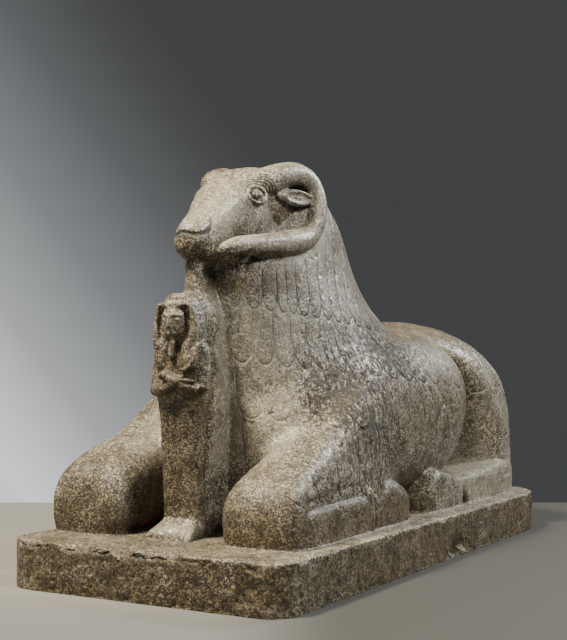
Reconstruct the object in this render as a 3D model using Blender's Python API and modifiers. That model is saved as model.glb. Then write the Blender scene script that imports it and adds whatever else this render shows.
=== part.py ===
import math

import bmesh
import bpy
import numpy as np

# Driving sizes, in metres.
RAM_HEIGHT = 1.18  # from the plinth's top to the top of the horns
PLINTH_THICKNESS = 0.143
PLINTH_CORNER_LEFT = 0.08  # the worn front corners
PLINTH_CORNER_RIGHT = 0.115
PLINTH_CORNER_BACK = 0.24
FRONT_MARGIN = 0.19  # plinth shown in front of the knees
BACK_MARGIN = 0.06
LEFT_MARGIN = 0.07
RIGHT_MARGIN = 0.01
LOCK_LINE_WIDTH = 0.009  # of the lines that draw the locks of the fleece
LOCK_LINE_DEPTH = 0.0045
LEG_GROOVE = 0.0035  # between the king's legs
FACE_GROOVE = 0.01  # between his face and the headdress
FACETS = 9700
DETAIL_CARE = 0.0002  # how much the thinning spares the head and the king

# The ram's own measure: its height is 118 of them, about a centimetre each.
# x runs from its mid-plane to its left, y from a little before its knees to its rump,
# z up from the plinth's top.
UNIT = RAM_HEIGHT / 118
KNEES, RUMP, FLANK = 19, 209, 44.8
ROOT = -4  # how far the masses reach down into the plinth
CARVING_GRAIN = 0.62 * UNIT  # the finest step of the surface before it is thinned
MASS_GRAIN = 1.1 * UNIT

PLINTH_LENGTH = FRONT_MARGIN + (RUMP - KNEES) * UNIT + BACK_MARGIN
PLINTH_WIDTH = LEFT_MARGIN + 2 * FLANK * UNIT + RIGHT_MARGIN
MIDDLE_X = PLINTH_WIDTH / 2 - LEFT_MARGIN - FLANK * UNIT
START_Y = FRONT_MARGIN - PLINTH_LENGTH / 2 - KNEES * UNIT
STONE = {"color": (0.30, 0.255, 0.19, 1.0), "roughness": 0.55, "metallic": 0.0}
SIDES = (1, -1)


def in_metres(points):
    return np.asarray(points, float) * UNIT + (MIDDLE_X, START_Y, PLINTH_THICKNESS)


# Meshes and modifiers


def with_modifier(mesh, kind, **settings):
    obj = bpy.data.objects.new("shaping", mesh)
    bpy.context.scene.collection.objects.link(obj)
    modifier = obj.modifiers.new(kind, kind)
    for name, value in settings.items():
        setattr(modifier, name, value)
    bpy.context.view_layer.update()
    graph = bpy.context.evaluated_depsgraph_get()
    result = bpy.data.meshes.new_from_object(obj.evaluated_get(graph))
    bpy.data.objects.remove(obj)
    return result


def from_bmesh(bm):
    bmesh.ops.recalc_face_normals(bm, faces=bm.faces)
    mesh = bpy.data.meshes.new("form")
    bm.to_mesh(mesh)
    bm.free()
    return mesh


def joined(meshes):
    bm = bmesh.new()
    for mesh in meshes:
        bm.from_mesh(mesh)
    together = bpy.data.meshes.new("together")
    bm.to_mesh(together)
    bm.free()
    return together


def one_skin(meshes, grain, smoothing):
    skin = with_modifier(joined(meshes), "REMESH", mode="VOXEL", voxel_size=grain)
    if smoothing:
        skin = with_modifier(skin, "SMOOTH", factor=0.5, iterations=smoothing)
    return skin


def points_of(mesh, attribute="co"):
    values = np.empty(len(mesh.vertices) * 3)
    mesh.vertices.foreach_get(attribute, values)
    return values.reshape(-1, 3)


def move_points(mesh, points):
    mesh.vertices.foreach_set("co", np.asarray(points, np.float32).ravel())
    mesh.update()


def placed(mesh):
    move_points(mesh, in_metres(points_of(mesh)))
    return mesh


# Forms, in the ram's own measure


def between(stations, steps=5):
    """More stations on a smooth curve through the given ones."""
    rows = np.array(stations, float)
    before = np.vstack([2 * rows[0] - rows[1], rows, 2 * rows[-1] - rows[-2]])
    found = []
    for i in range(len(rows) - 1):
        a, b, c, d = before[i : i + 4]
        for t in np.arange(steps) / steps:
            bend = (2 * a - 5 * b + 4 * c - d) * t**2 + (3 * b - a - 3 * c + d) * t**3
            found.append(0.5 * (2 * b + (c - a) * t + bend))
    return np.array(found + [rows[-1]])


def loft(rings):
    bm = bmesh.new()
    corners = [[bm.verts.new(point) for point in ring] for ring in rings]
    count = len(corners[0])
    for low, high in zip(corners, corners[1:]):
        for i in range(count):
            j = (i + 1) % count
            bm.faces.new((low[i], low[j], high[j], high[i]))
    bm.faces.new(corners[0])
    bm.faces.new(corners[-1])
    return from_bmesh(bm)


def oval(power, count=40):
    turn = np.linspace(0, 2 * math.pi, count, endpoint=False)
    across, up = np.cos(turn), np.sin(turn)
    return (
        np.sign(across) * np.abs(across) ** (2 / power),
        np.sign(up) * np.abs(up) ** (2 / power),
    )


def along_y(stations, power=2.4, x=0.0):
    """A mass from sections across it: y, lowest, widest and highest z, half width."""
    across, up = oval(power)
    rings = []
    for y, low, wide, high, half in between(stations):
        z = wide + np.where(up > 0, high - wide, wide - low) * up
        rings.append(np.stack([x + half * across, np.full_like(z, y), z], axis=1))
    return loft(rings)


def along_z(stations, power=2.4, x=0.0):
    """A mass from level sections: z, front and back y, half width."""
    across, deep = oval(power)
    rings = []
    for z, front, back, half in between(stations):
        y = (front + back) / 2 + (back - front) / 2 * deep
        rings.append(np.stack([x + half * across, y, np.full_like(y, z)], axis=1))
    return loft(rings)


def ball(center, radii, lean=0.0):
    """An ellipsoid, leaned about the ram's x axis by an angle in degrees."""
    bm = bmesh.new()
    bmesh.ops.create_uvsphere(bm, u_segments=28, v_segments=18, radius=1)
    turn = math.radians(lean)
    for vertex in bm.verts:
        x, y, z = (value * radius for value, radius in zip(vertex.co, radii))
        y, z = y * math.cos(turn) - z * math.sin(turn), y * math.sin(turn) + z * math.cos(turn)
        vertex.co = (center[0] + x, center[1] + y, center[2] + z)
    return from_bmesh(bm)


def tube(stations):
    """A round bar along x, y, z with its own radius at each station."""
    path = between(stations)
    curve = bpy.data.curves.new("bar", "CURVE")
    curve.dimensions = "3D"
    curve.bevel_depth = 1
    curve.bevel_resolution = 4
    curve.use_fill_caps = True
    spline = curve.splines.new("POLY")
    spline.points.add(len(path) - 1)
    for point, (x, y, z, radius) in zip(spline.points, path):
        point.co = (x, y, z, 1)
        point.radius = radius
    obj = bpy.data.objects.new("bar", curve)
    bpy.context.scene.collection.objects.link(obj)
    bpy.context.view_layer.update()
    graph = bpy.context.evaluated_depsgraph_get()
    mesh = bpy.data.meshes.new_from_object(obj.evaluated_get(graph))
    bpy.data.objects.remove(obj)
    bm = bmesh.new()
    bm.from_mesh(mesh)
    bmesh.ops.remove_doubles(bm, verts=bm.verts, dist=0.0001)
    return from_bmesh(bm)


def block(low, high, rounding):
    """A box with rounded edges."""
    bm = bmesh.new()
    bmesh.ops.create_cube(bm, size=1)
    middle = [(a + b) / 2 for a, b in zip(low, high)]
    size = [b - a for a, b in zip(low, high)]
    for vertex in bm.verts:
        vertex.co = [m + s * c for m, s, c in zip(middle, size, vertex.co)]
    bmesh.ops.bevel(
        bm, geom=bm.edges[:], offset=rounding, segments=3, profile=0.5, affect="EDGES"
    )
    return from_bmesh(bm)


# The ram's masses


def trunk():
    core = [
        (46, ROOT, 20, 44, 20),
        (60, ROOT, 25, 60, 27),
        (100, ROOT, 30, 65, 29),
        (140, ROOT, 30, 66.8, 29),
        (156, ROOT, 30, 67.2, 27),
        (176, ROOT, 30, 67.6, 26),
        (188, ROOT, 30, 66.2, 26),
        (195, ROOT, 28, 62.5, 26),
        (201, ROOT, 24, 53, 26),
        (205, ROOT, 20, 40, 24),
    ]
    belly = [
        (50, ROOT, 24, 48, 25),
        (60, ROOT, 26, 58, 33),
        (75, ROOT, 28, 63, 38),
        (95, ROOT, 30, 66, 40.5),
        (115, ROOT, 31, 66.5, 41.5),
        (135, ROOT, 33, 66.5, 42),
        (148, 1, 35, 66, 41.5),
        (156, 6, 37, 64.5, 40),
        (162, 12, 38, 61, 37),
        (166, 18, 38.5, 56, 32),
        (168.5, 26, 39, 50, 24),
    ]
    rump = [
        (ROOT, 181, 209, 41.5),
        (12, 182, 209.5, 41.6),
        (22, 181, 209.5, 41.4),
        (33, 177, 209, 41.2),
        (44, 170, 207, 39.4),
        (50, 165, 204.5, 36.6),
        (56, 159, 201.5, 31.6),
        (61, 154, 198, 24.6),
        (65, 151, 193, 15.6),
        (67.3, 152, 184, 6),
    ]
    tail = [
        (0, 195, 59, 2.5),
        (0, 203, 51, 4.4),
        (0, 207.5, 38, 5.2),
        (0, 208.2, 24, 4.8),
        (0, 208, 10, 4.2),
        (0, 208, ROOT, 4.0),
    ]
    return [along_y(core), along_y(belly, 2.3), along_z(rump, 3.4), tube(tail)]


def chest_and_neck():
    column = [
        (ROOT, 52, 120, 39),
        (10, 51, 120, 39),
        (20, 50, 125, 38.5),
        (30, 47.5, 130, 36.5),
        (40, 45, 132, 33),
        (50, 43.5, 134, 30),
        (60, 42, 146, 27),
        (66, 41.8, 141, 25.2),
        (70, 41.8, 134.5, 23.8),
        (75, 42, 129, 22.2),
        (80, 42.5, 125, 20.8),
        (85, 44.5, 121.5, 19.8),
        (90, 52, 117.5, 19.2),
        (95, 60, 113.2, 18.6),
        (100, 64, 108.4, 17.8),
        (105, 66, 102.5, 16.6),
        (110, 68, 96.5, 14.6),
        (113, 70, 91, 11.5),
        (115, 72, 85, 6.5),
    ]
    return [along_z(column, 2.3)]


def forelegs():
    left = [
        (19.0, 1, 6, 8, 7),
        (19.8, ROOT, 7, 12.5, 10.6),
        (21.5, ROOT, 8, 16, 12.2),
        (25, ROOT, 9, 19.2, 12.8),
        (31, ROOT, 12, 22.2, 12.2),
        (38, ROOT, 14, 25.4, 11.8),
        (45, ROOT, 16, 28.6, 11.8),
        (52, ROOT, 17, 32.4, 11.8),
        (60, ROOT, 18, 38, 12),
        (68, ROOT, 19, 43, 12.4),
        (76, ROOT, 19, 45, 12.4),
        (80, ROOT, 18, 43, 12),
        (82.5, ROOT, 14, 38, 10),
    ]
    right = [
        (19.0, 1, 6, 9, 8),
        (19.8, ROOT, 7, 14, 11.6),
        (21.5, ROOT, 8, 18, 13),
        (25, ROOT, 9, 21.6, 13.6),
        (31, ROOT, 10, 24.8, 13.8),
        (38, ROOT, 11, 27.2, 13.6),
        (45, ROOT, 12, 29.4, 13.2),
        (52, ROOT, 13, 33, 12.8),
    ]
    return [along_y(left, 3.0, 31), along_y(right + left[8:], 3.0, -31)]


# The legs folded under the body


def lower_legs():
    found = []
    for side in SIDES:
        cannon = [
            (23, ROOT, 3, 9.0, 7.6),
            (27, ROOT, 3, 10.0, 8.9),
            (33, ROOT, 3, 10.7, 9.4),
            (50, ROOT, 3, 11.0, 9.4),
            (66, ROOT, 3, 11.6, 9.4),
            (72, ROOT, 3, 11.6, 9.0),
            (75, ROOT, 3, 10.0, 7.6),
        ]
        found.append(along_y(cannon, 7.0, side * 35.4))
        hoof = [
            (71, ROOT, 4, 8, 7.4),
            (74.5, ROOT, 4, 11.2, 8.4),
            (77, ROOT, 5, 12.6, 8.4),
            (84, ROOT, 6, 15.2, 9),
            (91, ROOT, 6, 13.8, 8.8),
            (96.5, ROOT, 5, 10.4, 8),
            (100, ROOT, 4, 6, 5),
        ]
        found.append(along_y(hoof, 3.2, side * 35.8))
        foot = [
            (144.5, 6, 8, 10, 9),
            (149, 2, 6, 10.3, 10.4),
            (154, ROOT, 5, 10.7, 10.8),
            (170, ROOT, 5, 11.8, 11),
            (190, ROOT, 5, 13.2, 10.8),
            (200, ROOT, 5, 12.4, 9.4),
            (205, ROOT, 5, 9, 7),
        ]
        found.append(along_y(foot, 5.0, side * 32.5))
        hind_hoof = [
            (116.6, ROOT, -1, 2.5, 8.4),
            (118.5, ROOT, 2, 8.2, 10),
            (122.5, ROOT, 6, 13.6, 10.8),
            (127, ROOT, 7, 14.4, 11.2),
            (136, ROOT, 6, 12.6, 11.2),
            (143, ROOT, 4, 10.9, 11),
            (146, 5, 7.5, 10.3, 10.4),
        ]
        found.append(along_y(hind_hoof, 4.6, side * 32.5))
    return found


# The ram's head


def head():
    skull = [
        (28.8, 86.6, 88.6, 90.6, 2.8),
        (30, 85.2, 88.8, 92.8, 4.5),
        (32.4, 84.0, 89.4, 95.2, 5.6),
        (35.8, 83.4, 90.6, 97.8, 6.5),
        (40, 83.2, 92, 101.6, 7.1),
        (45.5, 84, 97.4, 106.4, 9.1),
        (51, 85, 101, 110.4, 10.8),
        (57, 86, 103.6, 113.8, 12.0),
        (63, 87, 103.5, 115.6, 11.8),
        (71, 88, 102, 116.0, 11.8),
        (80, 90, 101, 112.5, 11),
        (88, 93, 100, 106, 8),
    ]
    jaw = [
        (31.4, 83.6, 85.2, 87, 1.6),
        (33.4, 82.4, 85.6, 89, 3.2),
        (37, 82.0, 86.4, 91, 4.6),
        (44, 82.6, 88, 94, 5.8),
        (54, 84, 90, 98, 7.5),
    ]
    return [along_y(skull, 2.9), along_y(jaw, 2.2)]


HORN = [
    (3.6, 56, 107.2, 4.2),
    (9.3, 60.5, 109.6, 4.8),
    (12.0, 66.8, 112.2, 4.4),
    (13.8, 74, 113.4, 4.0),
    (15.8, 79.4, 110.6, 3.7),
    (17.6, 80.6, 104.6, 3.5),
    (18.0, 79.0, 98.6, 3.6),
    (17.6, 75, 93.6, 3.8),
    (17, 68.5, 91.2, 4.1),
    (16.2, 61, 89.9, 3.9),
    (15.0, 54, 89.2, 3.5),
    (13.2, 46.5, 88.5, 3.3),
    (11.4, 41, 88.1, 2.9),
    (9.6, 37.2, 87.4, 1.9),
    (8.6, 34.8, 86.9, 0.9),
]
RIGHT_HORN_END = 50  # its tip is lost a little sooner than the left one's
EYE, EYE_FACING = (11.3, 53.6, 104.9), (0.86, -0.42, 0.28)
EYE_SIZE, LID_THICKNESS = 2.8, 0.6
EAR, EAR_SIZE, EAR_TURN = (15.6, 70.8, 105.5), (1.7, 9.0, 2.9), 14


def mirrored(stations, side):
    return [(side * row[0],) + tuple(row[1:]) for row in stations]


def circle_around(center, facing, radius, start=0, end=360, count=24, flatten=1.0):
    """Points of an arc about a direction, the start angle measured from the level."""
    normal = np.array(facing) / np.linalg.norm(facing)
    level = np.cross((0, 0, 1), normal)
    level /= np.linalg.norm(level)
    upward = np.cross(normal, level)
    turn = np.radians(np.linspace(start, end, count))[:, None]
    return np.array(center) + radius * (np.cos(turn) * level + flatten * np.sin(turn) * upward)


def with_radius(points, radius):
    return [(*point, radius) for point in points]


def leaf(side):
    """An ear, pointed at both ends and turned a little away from the head."""
    bm = bmesh.new()
    bmesh.ops.create_uvsphere(bm, u_segments=28, v_segments=18, radius=1)
    turn = math.radians(EAR_TURN)
    for vertex in bm.verts:
        x, z, y = vertex.co
        sharpen = 1 - 0.35 * y * y
        x, y, z = x * EAR_SIZE[0] * sharpen, y * EAR_SIZE[1], z * EAR_SIZE[2] * sharpen
        x, y = x + y * math.sin(turn), y * math.cos(turn)
        vertex.co = (side * (EAR[0] + x), EAR[1] + y, EAR[2] + z)
    return from_bmesh(bm)


def head_features():
    muzzle = [
        (28.9, 87.4, 89.4, 91.4, 2.4),
        (29.6, 86.0, 89.6, 93.0, 3.2),
        (31.0, 84.8, 89.8, 94.8, 4.0),
        (33.0, 84.0, 90.0, 96.4, 5.1),
        (35.5, 83.6, 90.4, 98.2, 6.2),
        (39.0, 83.4, 91.4, 100.6, 6.9),
        (42.0, 84.0, 92.6, 102.4, 7.2),
    ]
    found = [along_y(muzzle, 2.3)]
    for side in SIDES:
        horn = HORN if side > 0 else [row for row in HORN if row[1] > RIGHT_HORN_END]
        found.append(tube(mirrored(horn, side)))
        lids = circle_around(EYE, EYE_FACING, EYE_SIZE, count=13, flatten=0.86)
        found.append(tube(mirrored(with_radius(lids, LID_THICKNESS), side)))
        found.append(ball((side * 10.7, 53.9, 104.8), (1.9, 1.9, 1.6)))
        found.append(leaf(side))
        found.append(ball((side * 7.5, 70, 103), (6.4, 12.5, 9.6)))
    return found


# The king who stands under the ram's chin, and the pillar behind him


HEM = [
    (2.6, 22.7, 50.2, 0.45),
    (5.6, 22.8, 50.6, 0.5),
    (7.7, 23.4, 53.4, 0.5),
    (8.3, 24.6, 57.2, 0.5),
    (9.0, 28.6, 59.4, 0.45),
]
LAPPETS = [(5.2, 2.6), (4.3, 2.1)]  # middle and half width, on his left and on his right


def king():
    pillar = [
        (ROOT, 32, 50, 5.2),
        (8, 32, 50, 4.8),
        (29, 32, 48, 5.8),
        (43, 32, 46, 7.2),
        (58, 32, 44, 7.2),
        (66, 32, 44, 6.2),
        (72, 32, 44, 4.2),
        (76, 32.6, 44, 2.9),
        (86, 32.6, 44, 2.7),
    ]
    feet = [
        (20.4, ROOT, 0, 1.6, 7.0),
        (21.2, ROOT, 1, 2.8, 7.9),
        (23.5, ROOT, 1, 4.2, 7.5),
        (27, ROOT, 2, 6.4, 6.7),
        (30, ROOT, 3, 9.6, 5.8),
        (33, ROOT, 3, 11, 5.4),
    ]
    wrapped = [
        (ROOT, 26.4, 34, 6.6),
        (7, 26.2, 34, 6.5),
        (14, 25.8, 34, 6.6),
        (22, 25.4, 34, 6.9),
        (30, 25.2, 34, 7.1),
        (36, 24.8, 34, 7.4),
        (41, 24.4, 34, 8.2),
        (44, 24.0, 34, 8.5),
        (50, 23.9, 34, 8.4),
        (55, 24.4, 34, 8.2),
        (58, 25.6, 33.6, 7.6),
        (60, 26.8, 33, 6.0),
        (62, 27.6, 33, 4.2),
    ]
    headdress = [
        (55.5, 26.2, 33.5, 6.8),
        (59, 25.2, 34, 7.2),
        (63, 24.6, 34, 7.0),
        (67, 24.3, 34, 6.3),
        (70, 24.2, 33.8, 5.4),
        (72, 24.4, 33.2, 4.5),
        (73.2, 26.0, 32.0, 2.8),
    ]
    found = [
        along_z(pillar, 4.0),
        along_y(feet, 3.2),
        along_z(wrapped, 2.7),
        along_z(headdress, 2.6),
        ball((0, 26.4, 64.6), (4.9, 4.6, 6.5)),
        block((-4.3, 22.9, 68.8), (4.3, 27, 70.4), 0.5),
        tube([(0, 22.5, 65.8, 0.5), (0, 21.9, 63.8, 0.6), (0, 21.7, 62.4, 0.8)]),
        tube([(0, 23.6, 59.4, 0.8), (0, 23.6, 56.4, 0.8), (0, 23.5, 53.4, 0.9)]),
    ]
    found.append(tube(HEM))
    for side, (middle, half) in zip(SIDES, LAPPETS):
        flap = [
            (5.0, 24.9, 70.0, 1.2),
            (6.0, 25.2, 66.5, 1.4),
            (6.5, 25.3, 62.5, 1.5),
            (6.2, 24.9, 58.6, 1.6),
            (5.8, 24.6, 56.6, 1.5),
        ]
        found.append(tube(mirrored(flap, side)))
        lappet = [
            (50.4, 23.5, 26, half - 0.1),
            (54, 23.2, 27, half),
            (58, 23.6, 27, half - 0.3),
            (61, 24.4, 27, half - 1),
        ]
        found.append(along_z(lappet, 3.4, side * middle))
        upper_arm = [(7.4, 28.6, 57, 2.0), (8.0, 28.2, 50, 2.2), (8.0, 27.2, 44.4, 2.1)]
        found.append(tube(mirrored(upper_arm, side)))
        rise = 0.9 * side
        forearm = [(7.8, 25.8, 44.0, 1.9), (3.0, 23.1, 45.4 + rise, 1.7), (-1.6, 22.9, 47 + rise, 1.5)]
        found.append(tube(mirrored(forearm, side)))
        found.append(ball((-side * 2.6, 22.7, 47.6 + rise), (1.9, 1.5, 1.6)))
    crook = [(2.5, 21.9, 47.4, 0.5), (5.4, 22.4, 47.2, 0.5), (8.2, 24.0, 46.8, 0.45)]
    flail = [(2.5, 21.9, 46.0, 0.5), (5.6, 22.5, 45.4, 0.5), (8.3, 24.2, 44.8, 0.45)]
    return found + [tube(crook), tube(flail)]


# The plinth, in metres


def plinth():
    half_width, half_length = PLINTH_WIDTH / 2, PLINTH_LENGTH / 2
    corners = [
        (half_width, half_length, PLINTH_CORNER_BACK, 0),
        (-half_width, half_length, PLINTH_CORNER_BACK, 90),
        (-half_width, -half_length, PLINTH_CORNER_RIGHT, 180),
        (half_width, -half_length, PLINTH_CORNER_LEFT, 270),
    ]
    outline = []
    for x, y, radius, start in corners:
        x, y = x - math.copysign(radius, x), y - math.copysign(radius, y)
        for turn in np.radians(np.linspace(start, start + 90, 9)):
            outline.append((x + radius * math.cos(turn), y + radius * math.sin(turn)))
    bm = bmesh.new()
    bottom = bm.faces.new([bm.verts.new((x, y, -2 * MASS_GRAIN)) for x, y in outline])
    raised = bmesh.ops.extrude_face_region(bm, geom=[bottom])["geom"]
    top = [piece for piece in raised if isinstance(piece, bmesh.types.BMVert)]
    bmesh.ops.translate(bm, vec=(0, 0, 2 * MASS_GRAIN + PLINTH_THICKNESS), verts=top)
    return from_bmesh(bm)


# Carving


def distance_to_path(points, path):
    nearest = np.full(len(points), np.inf)
    for start, end in zip(path[:-1], path[1:]):
        run = end - start
        share = np.clip(((points - start) @ run) / (run @ run), 0, 1)
        gap = np.linalg.norm(points - start - share[:, None] * run, axis=1)
        nearest = np.minimum(nearest, gap)
    return nearest


def ease(value, low, high):
    share = np.clip((value - low) / (high - low), 0, 1)
    return share * share * (3 - 2 * share)


LOCK_ROW, LOCK_TIP = 17.0, 0.62
FIRST_ROW, ROW_LEAN = 4.12, 0.09  # the rows sink a little towards the rump
LOCK_WIDTH, ROW_WIDENING = 7.3, 1.25  # in the row under the chin, and more in each row below
LEAST_WIDTH, MOST_WIDTH = 4.6, 9.8
TOP_ROW = -1  # the locks of this row reach all the way up


def lock_place(points):
    """How far round each point is, its row, and how far the odd rows are shifted there."""
    x, y, z = np.abs(points[:, 0]), points[:, 1], points[:, 2]
    front = np.interp(z, (0, 20, 40, 60, 90), (52, 50, 45, 42, 43))
    half = np.interp(z, (0, 20, 30, 45, 60, 75, 90, 105), (39, 38.5, 36.5, 31, 27, 22, 18, 15))
    bend = front + half
    turned = np.arctan2(x, np.maximum(bend - y, 0.01))
    along = np.minimum(y, 198) - bend + ease(y, 188, 200) * (38 - x)
    around = np.where(y < bend, half * turned, half * math.pi / 2 + along)
    row = z + 0.25 * np.maximum(34 - z, 0) * (1 - ease(y, 75, 95)) + ROW_LEAN * around
    around = around - 0.25 * np.maximum(around - 60, 0)
    arm = (1 - ease(z, 26, 36)) * ease(x, 19, 24) * (1 - ease(y, 76, 88))
    around = around * (1 - arm) + (0.715 * (y - 20.4) + 9.8) * arm
    return around, FIRST_ROW - row / LOCK_ROW, 0.5 * ease(around, 22, 34)


def lock_distance(points):
    """How far each point is from the nearest line that draws a lock of the fleece."""
    around, row, shifted = lock_place(points)
    level = np.maximum(np.floor(row), TOP_ROW)
    down = row - level

    def width(step):
        return np.clip(LOCK_WIDTH + ROW_WIDENING * (level + step), LEAST_WIDTH, MOST_WIDTH)

    def across(step):
        moved = around / width(step) + shifted * np.mod(level + step, 2)
        return moved - np.floor(moved) - 0.5

    here, below, above = across(0), across(1), across(-1)
    rest = 1 - LOCK_TIP
    scale = np.minimum(width(0) / 2, LOCK_ROW * rest)
    tip = np.hypot(2 * here, np.maximum(down - LOCK_TIP, 0) / rest)
    upper_tip = np.hypot(2 * above, (down + rest) / rest)
    inside = (down < LOCK_TIP) | (tip < 1)
    side_here = (0.5 - np.abs(here)) * width(0)
    side_below = (0.5 - np.abs(below)) * width(1)
    to_tip = np.abs(1 - tip) * scale
    to_upper = np.where(level > TOP_ROW, np.abs(upper_tip - 1) * scale, MOST_WIDTH)
    own = np.where(down < LOCK_TIP, np.minimum(side_here, to_upper), to_tip)
    return np.where(inside, own, np.minimum(side_below, to_tip))


def fleece_share(points):
    """1 where the stone shows fleece, 0 on the face, hooves, belly, king and plinth."""
    x, y, z = np.abs(points[:, 0]), points[:, 1], points[:, 2]
    share = ease(z, 19, 24) * ease(y, 40, 42)
    arm = ease(y, 21, 23) * ease(z, 11.4, 12.4) * ease(x, 30, 38) * (1 - ease(y, 80, 83))
    share = np.maximum(share, arm)
    face = (1 - ease(y, 62, 68)) * ease(z, 79, 83)
    in_horn = np.hypot(y - 70, z - 103) < 21
    share *= (1 - face) * np.where(in_horn & (z > 84), 0, 1)
    middle = (x < 8.5) & (y < 52)
    recess = (x < 34) & (y > 160) & (y < 186) & (z < 52)
    return share * np.where(middle | recess, 0, 1)


def carve(mesh):
    points = points_of(mesh)
    own = (points - in_metres([(0, 0, 0)])[0]) / UNIT
    normals = points_of(mesh, "normal")
    line = LOCK_LINE_WIDTH / UNIT / 2
    cut = np.exp(-((lock_distance(own) / line) ** 2)) * fleece_share(own) * LOCK_LINE_DEPTH
    sided = np.stack([np.abs(own[:, 0]), own[:, 1], own[:, 2]], axis=1)
    for radius in (4.3, 5.3):
        brow = circle_around(EYE, EYE_FACING, radius, 20, 165, 14)
        near = distance_to_path(sided, brow)
        cut += 0.35 * LOCK_LINE_DEPTH * np.exp(-((near / 0.35) ** 2))
    legs = distance_to_path(own, np.array([(0, 25, 8.0), (0, 25, 40.0)]))
    cut += LEG_GROOVE * np.exp(-((legs / 1.1) ** 2)) * (own[:, 1] < 28)
    beside_face = [(4.7, 24.2, 68.4), (5.1, 24.2, 64), (4.5, 24.2, 60.2), (2.6, 24.2, 58.6)]
    gap = distance_to_path(sided, np.array(beside_face))
    cut += FACE_GROOVE * np.exp(-((gap / 0.7) ** 2))
    move_points(mesh, points - normals * cut[:, None])


# Everything together


def largest_shell(mesh):
    bm = bmesh.new()
    bm.from_mesh(mesh)
    left, shells = set(bm.verts), []
    while left:
        shell, edge = set(), [left.pop()]
        while edge:
            vertex = edge.pop()
            shell.add(vertex)
            for link in vertex.link_edges:
                other = link.other_vert(vertex)
                if other in left:
                    left.remove(other)
                    edge.append(other)
        shells.append(shell)
    keep = max(shells, key=len)
    bmesh.ops.delete(bm, geom=[v for v in bm.verts if v not in keep], context="VERTS")
    bm.to_mesh(mesh)
    bm.free()
    return mesh


def cut_flat(mesh):
    """Cuts off what lies below the underside, and closes it with one flat face."""
    bm = bmesh.new()
    bm.from_mesh(mesh)
    geometry = bm.verts[:] + bm.edges[:] + bm.faces[:]
    cut = bmesh.ops.bisect_plane(
        bm, geom=geometry, dist=1e-5, plane_co=(0, 0, 0), plane_no=(0, 0, -1), clear_outer=True
    )
    rim = [piece for piece in cut["geom_cut"] if isinstance(piece, bmesh.types.BMEdge)]
    bmesh.ops.holes_fill(bm, edges=rim, sides=0)
    bmesh.ops.triangulate(bm, faces=bm.faces)
    return from_bmesh(bm)


def thinned(mesh):
    """Thins the mesh to its facets, keeping more of them on the head and the king."""
    own = (points_of(mesh) - in_metres([(0, 0, 0)])[0]) / UNIT
    at_king = (own[:, 1] < 34) & (np.abs(own[:, 0]) < 11) & (own[:, 2] > 40)
    at_head = (own[:, 1] < 85) & (own[:, 2] > 82)
    obj = bpy.data.objects.new("thinning", mesh)
    bpy.context.scene.collection.objects.link(obj)
    group = obj.vertex_groups.new(name="plain")
    group.add(list(range(len(own))), 1.0, "REPLACE")
    group.add(np.flatnonzero(at_king | at_head).tolist(), 0.5, "REPLACE")
    mesh.calc_loop_triangles()
    modifier = obj.modifiers.new("thinning", "DECIMATE")
    modifier.ratio = FACETS / len(mesh.loop_triangles)
    modifier.use_collapse_triangulate = True
    modifier.vertex_group = group.name
    modifier.vertex_group_factor = DETAIL_CARE
    bpy.context.view_layer.update()
    graph = bpy.context.evaluated_depsgraph_get()
    result = bpy.data.meshes.new_from_object(obj.evaluated_get(graph))
    bpy.data.objects.remove(obj)
    return result


def stone_material():
    material = bpy.data.materials.new("granite")
    material.use_nodes = True
    shader = material.node_tree.nodes["Principled BSDF"]
    shader.inputs["Base Color"].default_value = STONE["color"]
    shader.inputs["Roughness"].default_value = STONE["roughness"]
    shader.inputs["Metallic"].default_value = STONE["metallic"]
    return material


def ram_statue():
    masses = trunk() + chest_and_neck() + forelegs() + head()
    soft = one_skin([placed(mesh) for mesh in masses], MASS_GRAIN, 18)
    details = [placed(mesh) for mesh in lower_legs() + head_features() + king()]
    stone = one_skin([soft, plinth()] + details, CARVING_GRAIN, 3)
    stone = largest_shell(stone)
    carve(stone)
    stone = cut_flat(thinned(stone))
    stone.name = "ram_statue"
    stone.materials.append(stone_material())
    stone.shade_smooth()
    stone.set_sharp_from_angle(angle=math.radians(40))
    return stone


def main():
    for obj in list(bpy.data.objects):
        bpy.data.objects.remove(obj)
    collection = bpy.data.collections.new("ram statue")
    bpy.context.scene.collection.children.link(collection)
    collection.objects.link(bpy.data.objects.new("ram_statue", ram_statue()))


main()
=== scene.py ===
import itertools
import math

import bmesh
import bpy
import numpy as np
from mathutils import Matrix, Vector, kdtree
from mathutils.bvhtree import BVHTree


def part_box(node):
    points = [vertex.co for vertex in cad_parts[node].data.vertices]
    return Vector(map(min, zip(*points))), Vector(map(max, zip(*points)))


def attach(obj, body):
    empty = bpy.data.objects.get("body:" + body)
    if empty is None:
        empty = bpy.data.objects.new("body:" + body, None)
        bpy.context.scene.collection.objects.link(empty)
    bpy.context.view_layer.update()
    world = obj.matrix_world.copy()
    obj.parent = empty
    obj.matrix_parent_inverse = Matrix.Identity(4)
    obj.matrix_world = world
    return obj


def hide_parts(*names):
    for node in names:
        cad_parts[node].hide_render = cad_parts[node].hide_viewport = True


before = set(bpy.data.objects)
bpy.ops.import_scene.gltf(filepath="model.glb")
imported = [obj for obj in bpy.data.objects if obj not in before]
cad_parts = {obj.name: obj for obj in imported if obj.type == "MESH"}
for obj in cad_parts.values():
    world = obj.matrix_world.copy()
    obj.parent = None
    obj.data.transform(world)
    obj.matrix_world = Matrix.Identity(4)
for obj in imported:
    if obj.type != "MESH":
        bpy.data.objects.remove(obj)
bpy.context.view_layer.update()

# The ram's own measure: x runs from its middle to its left, y from the plinth's front,
# z up from the plinth's top. The plinth is 215 of them long, about a centimetre each.
boxLow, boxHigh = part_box("ram_statue")
unit = (boxHigh.y - boxLow.y) / 215
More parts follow.
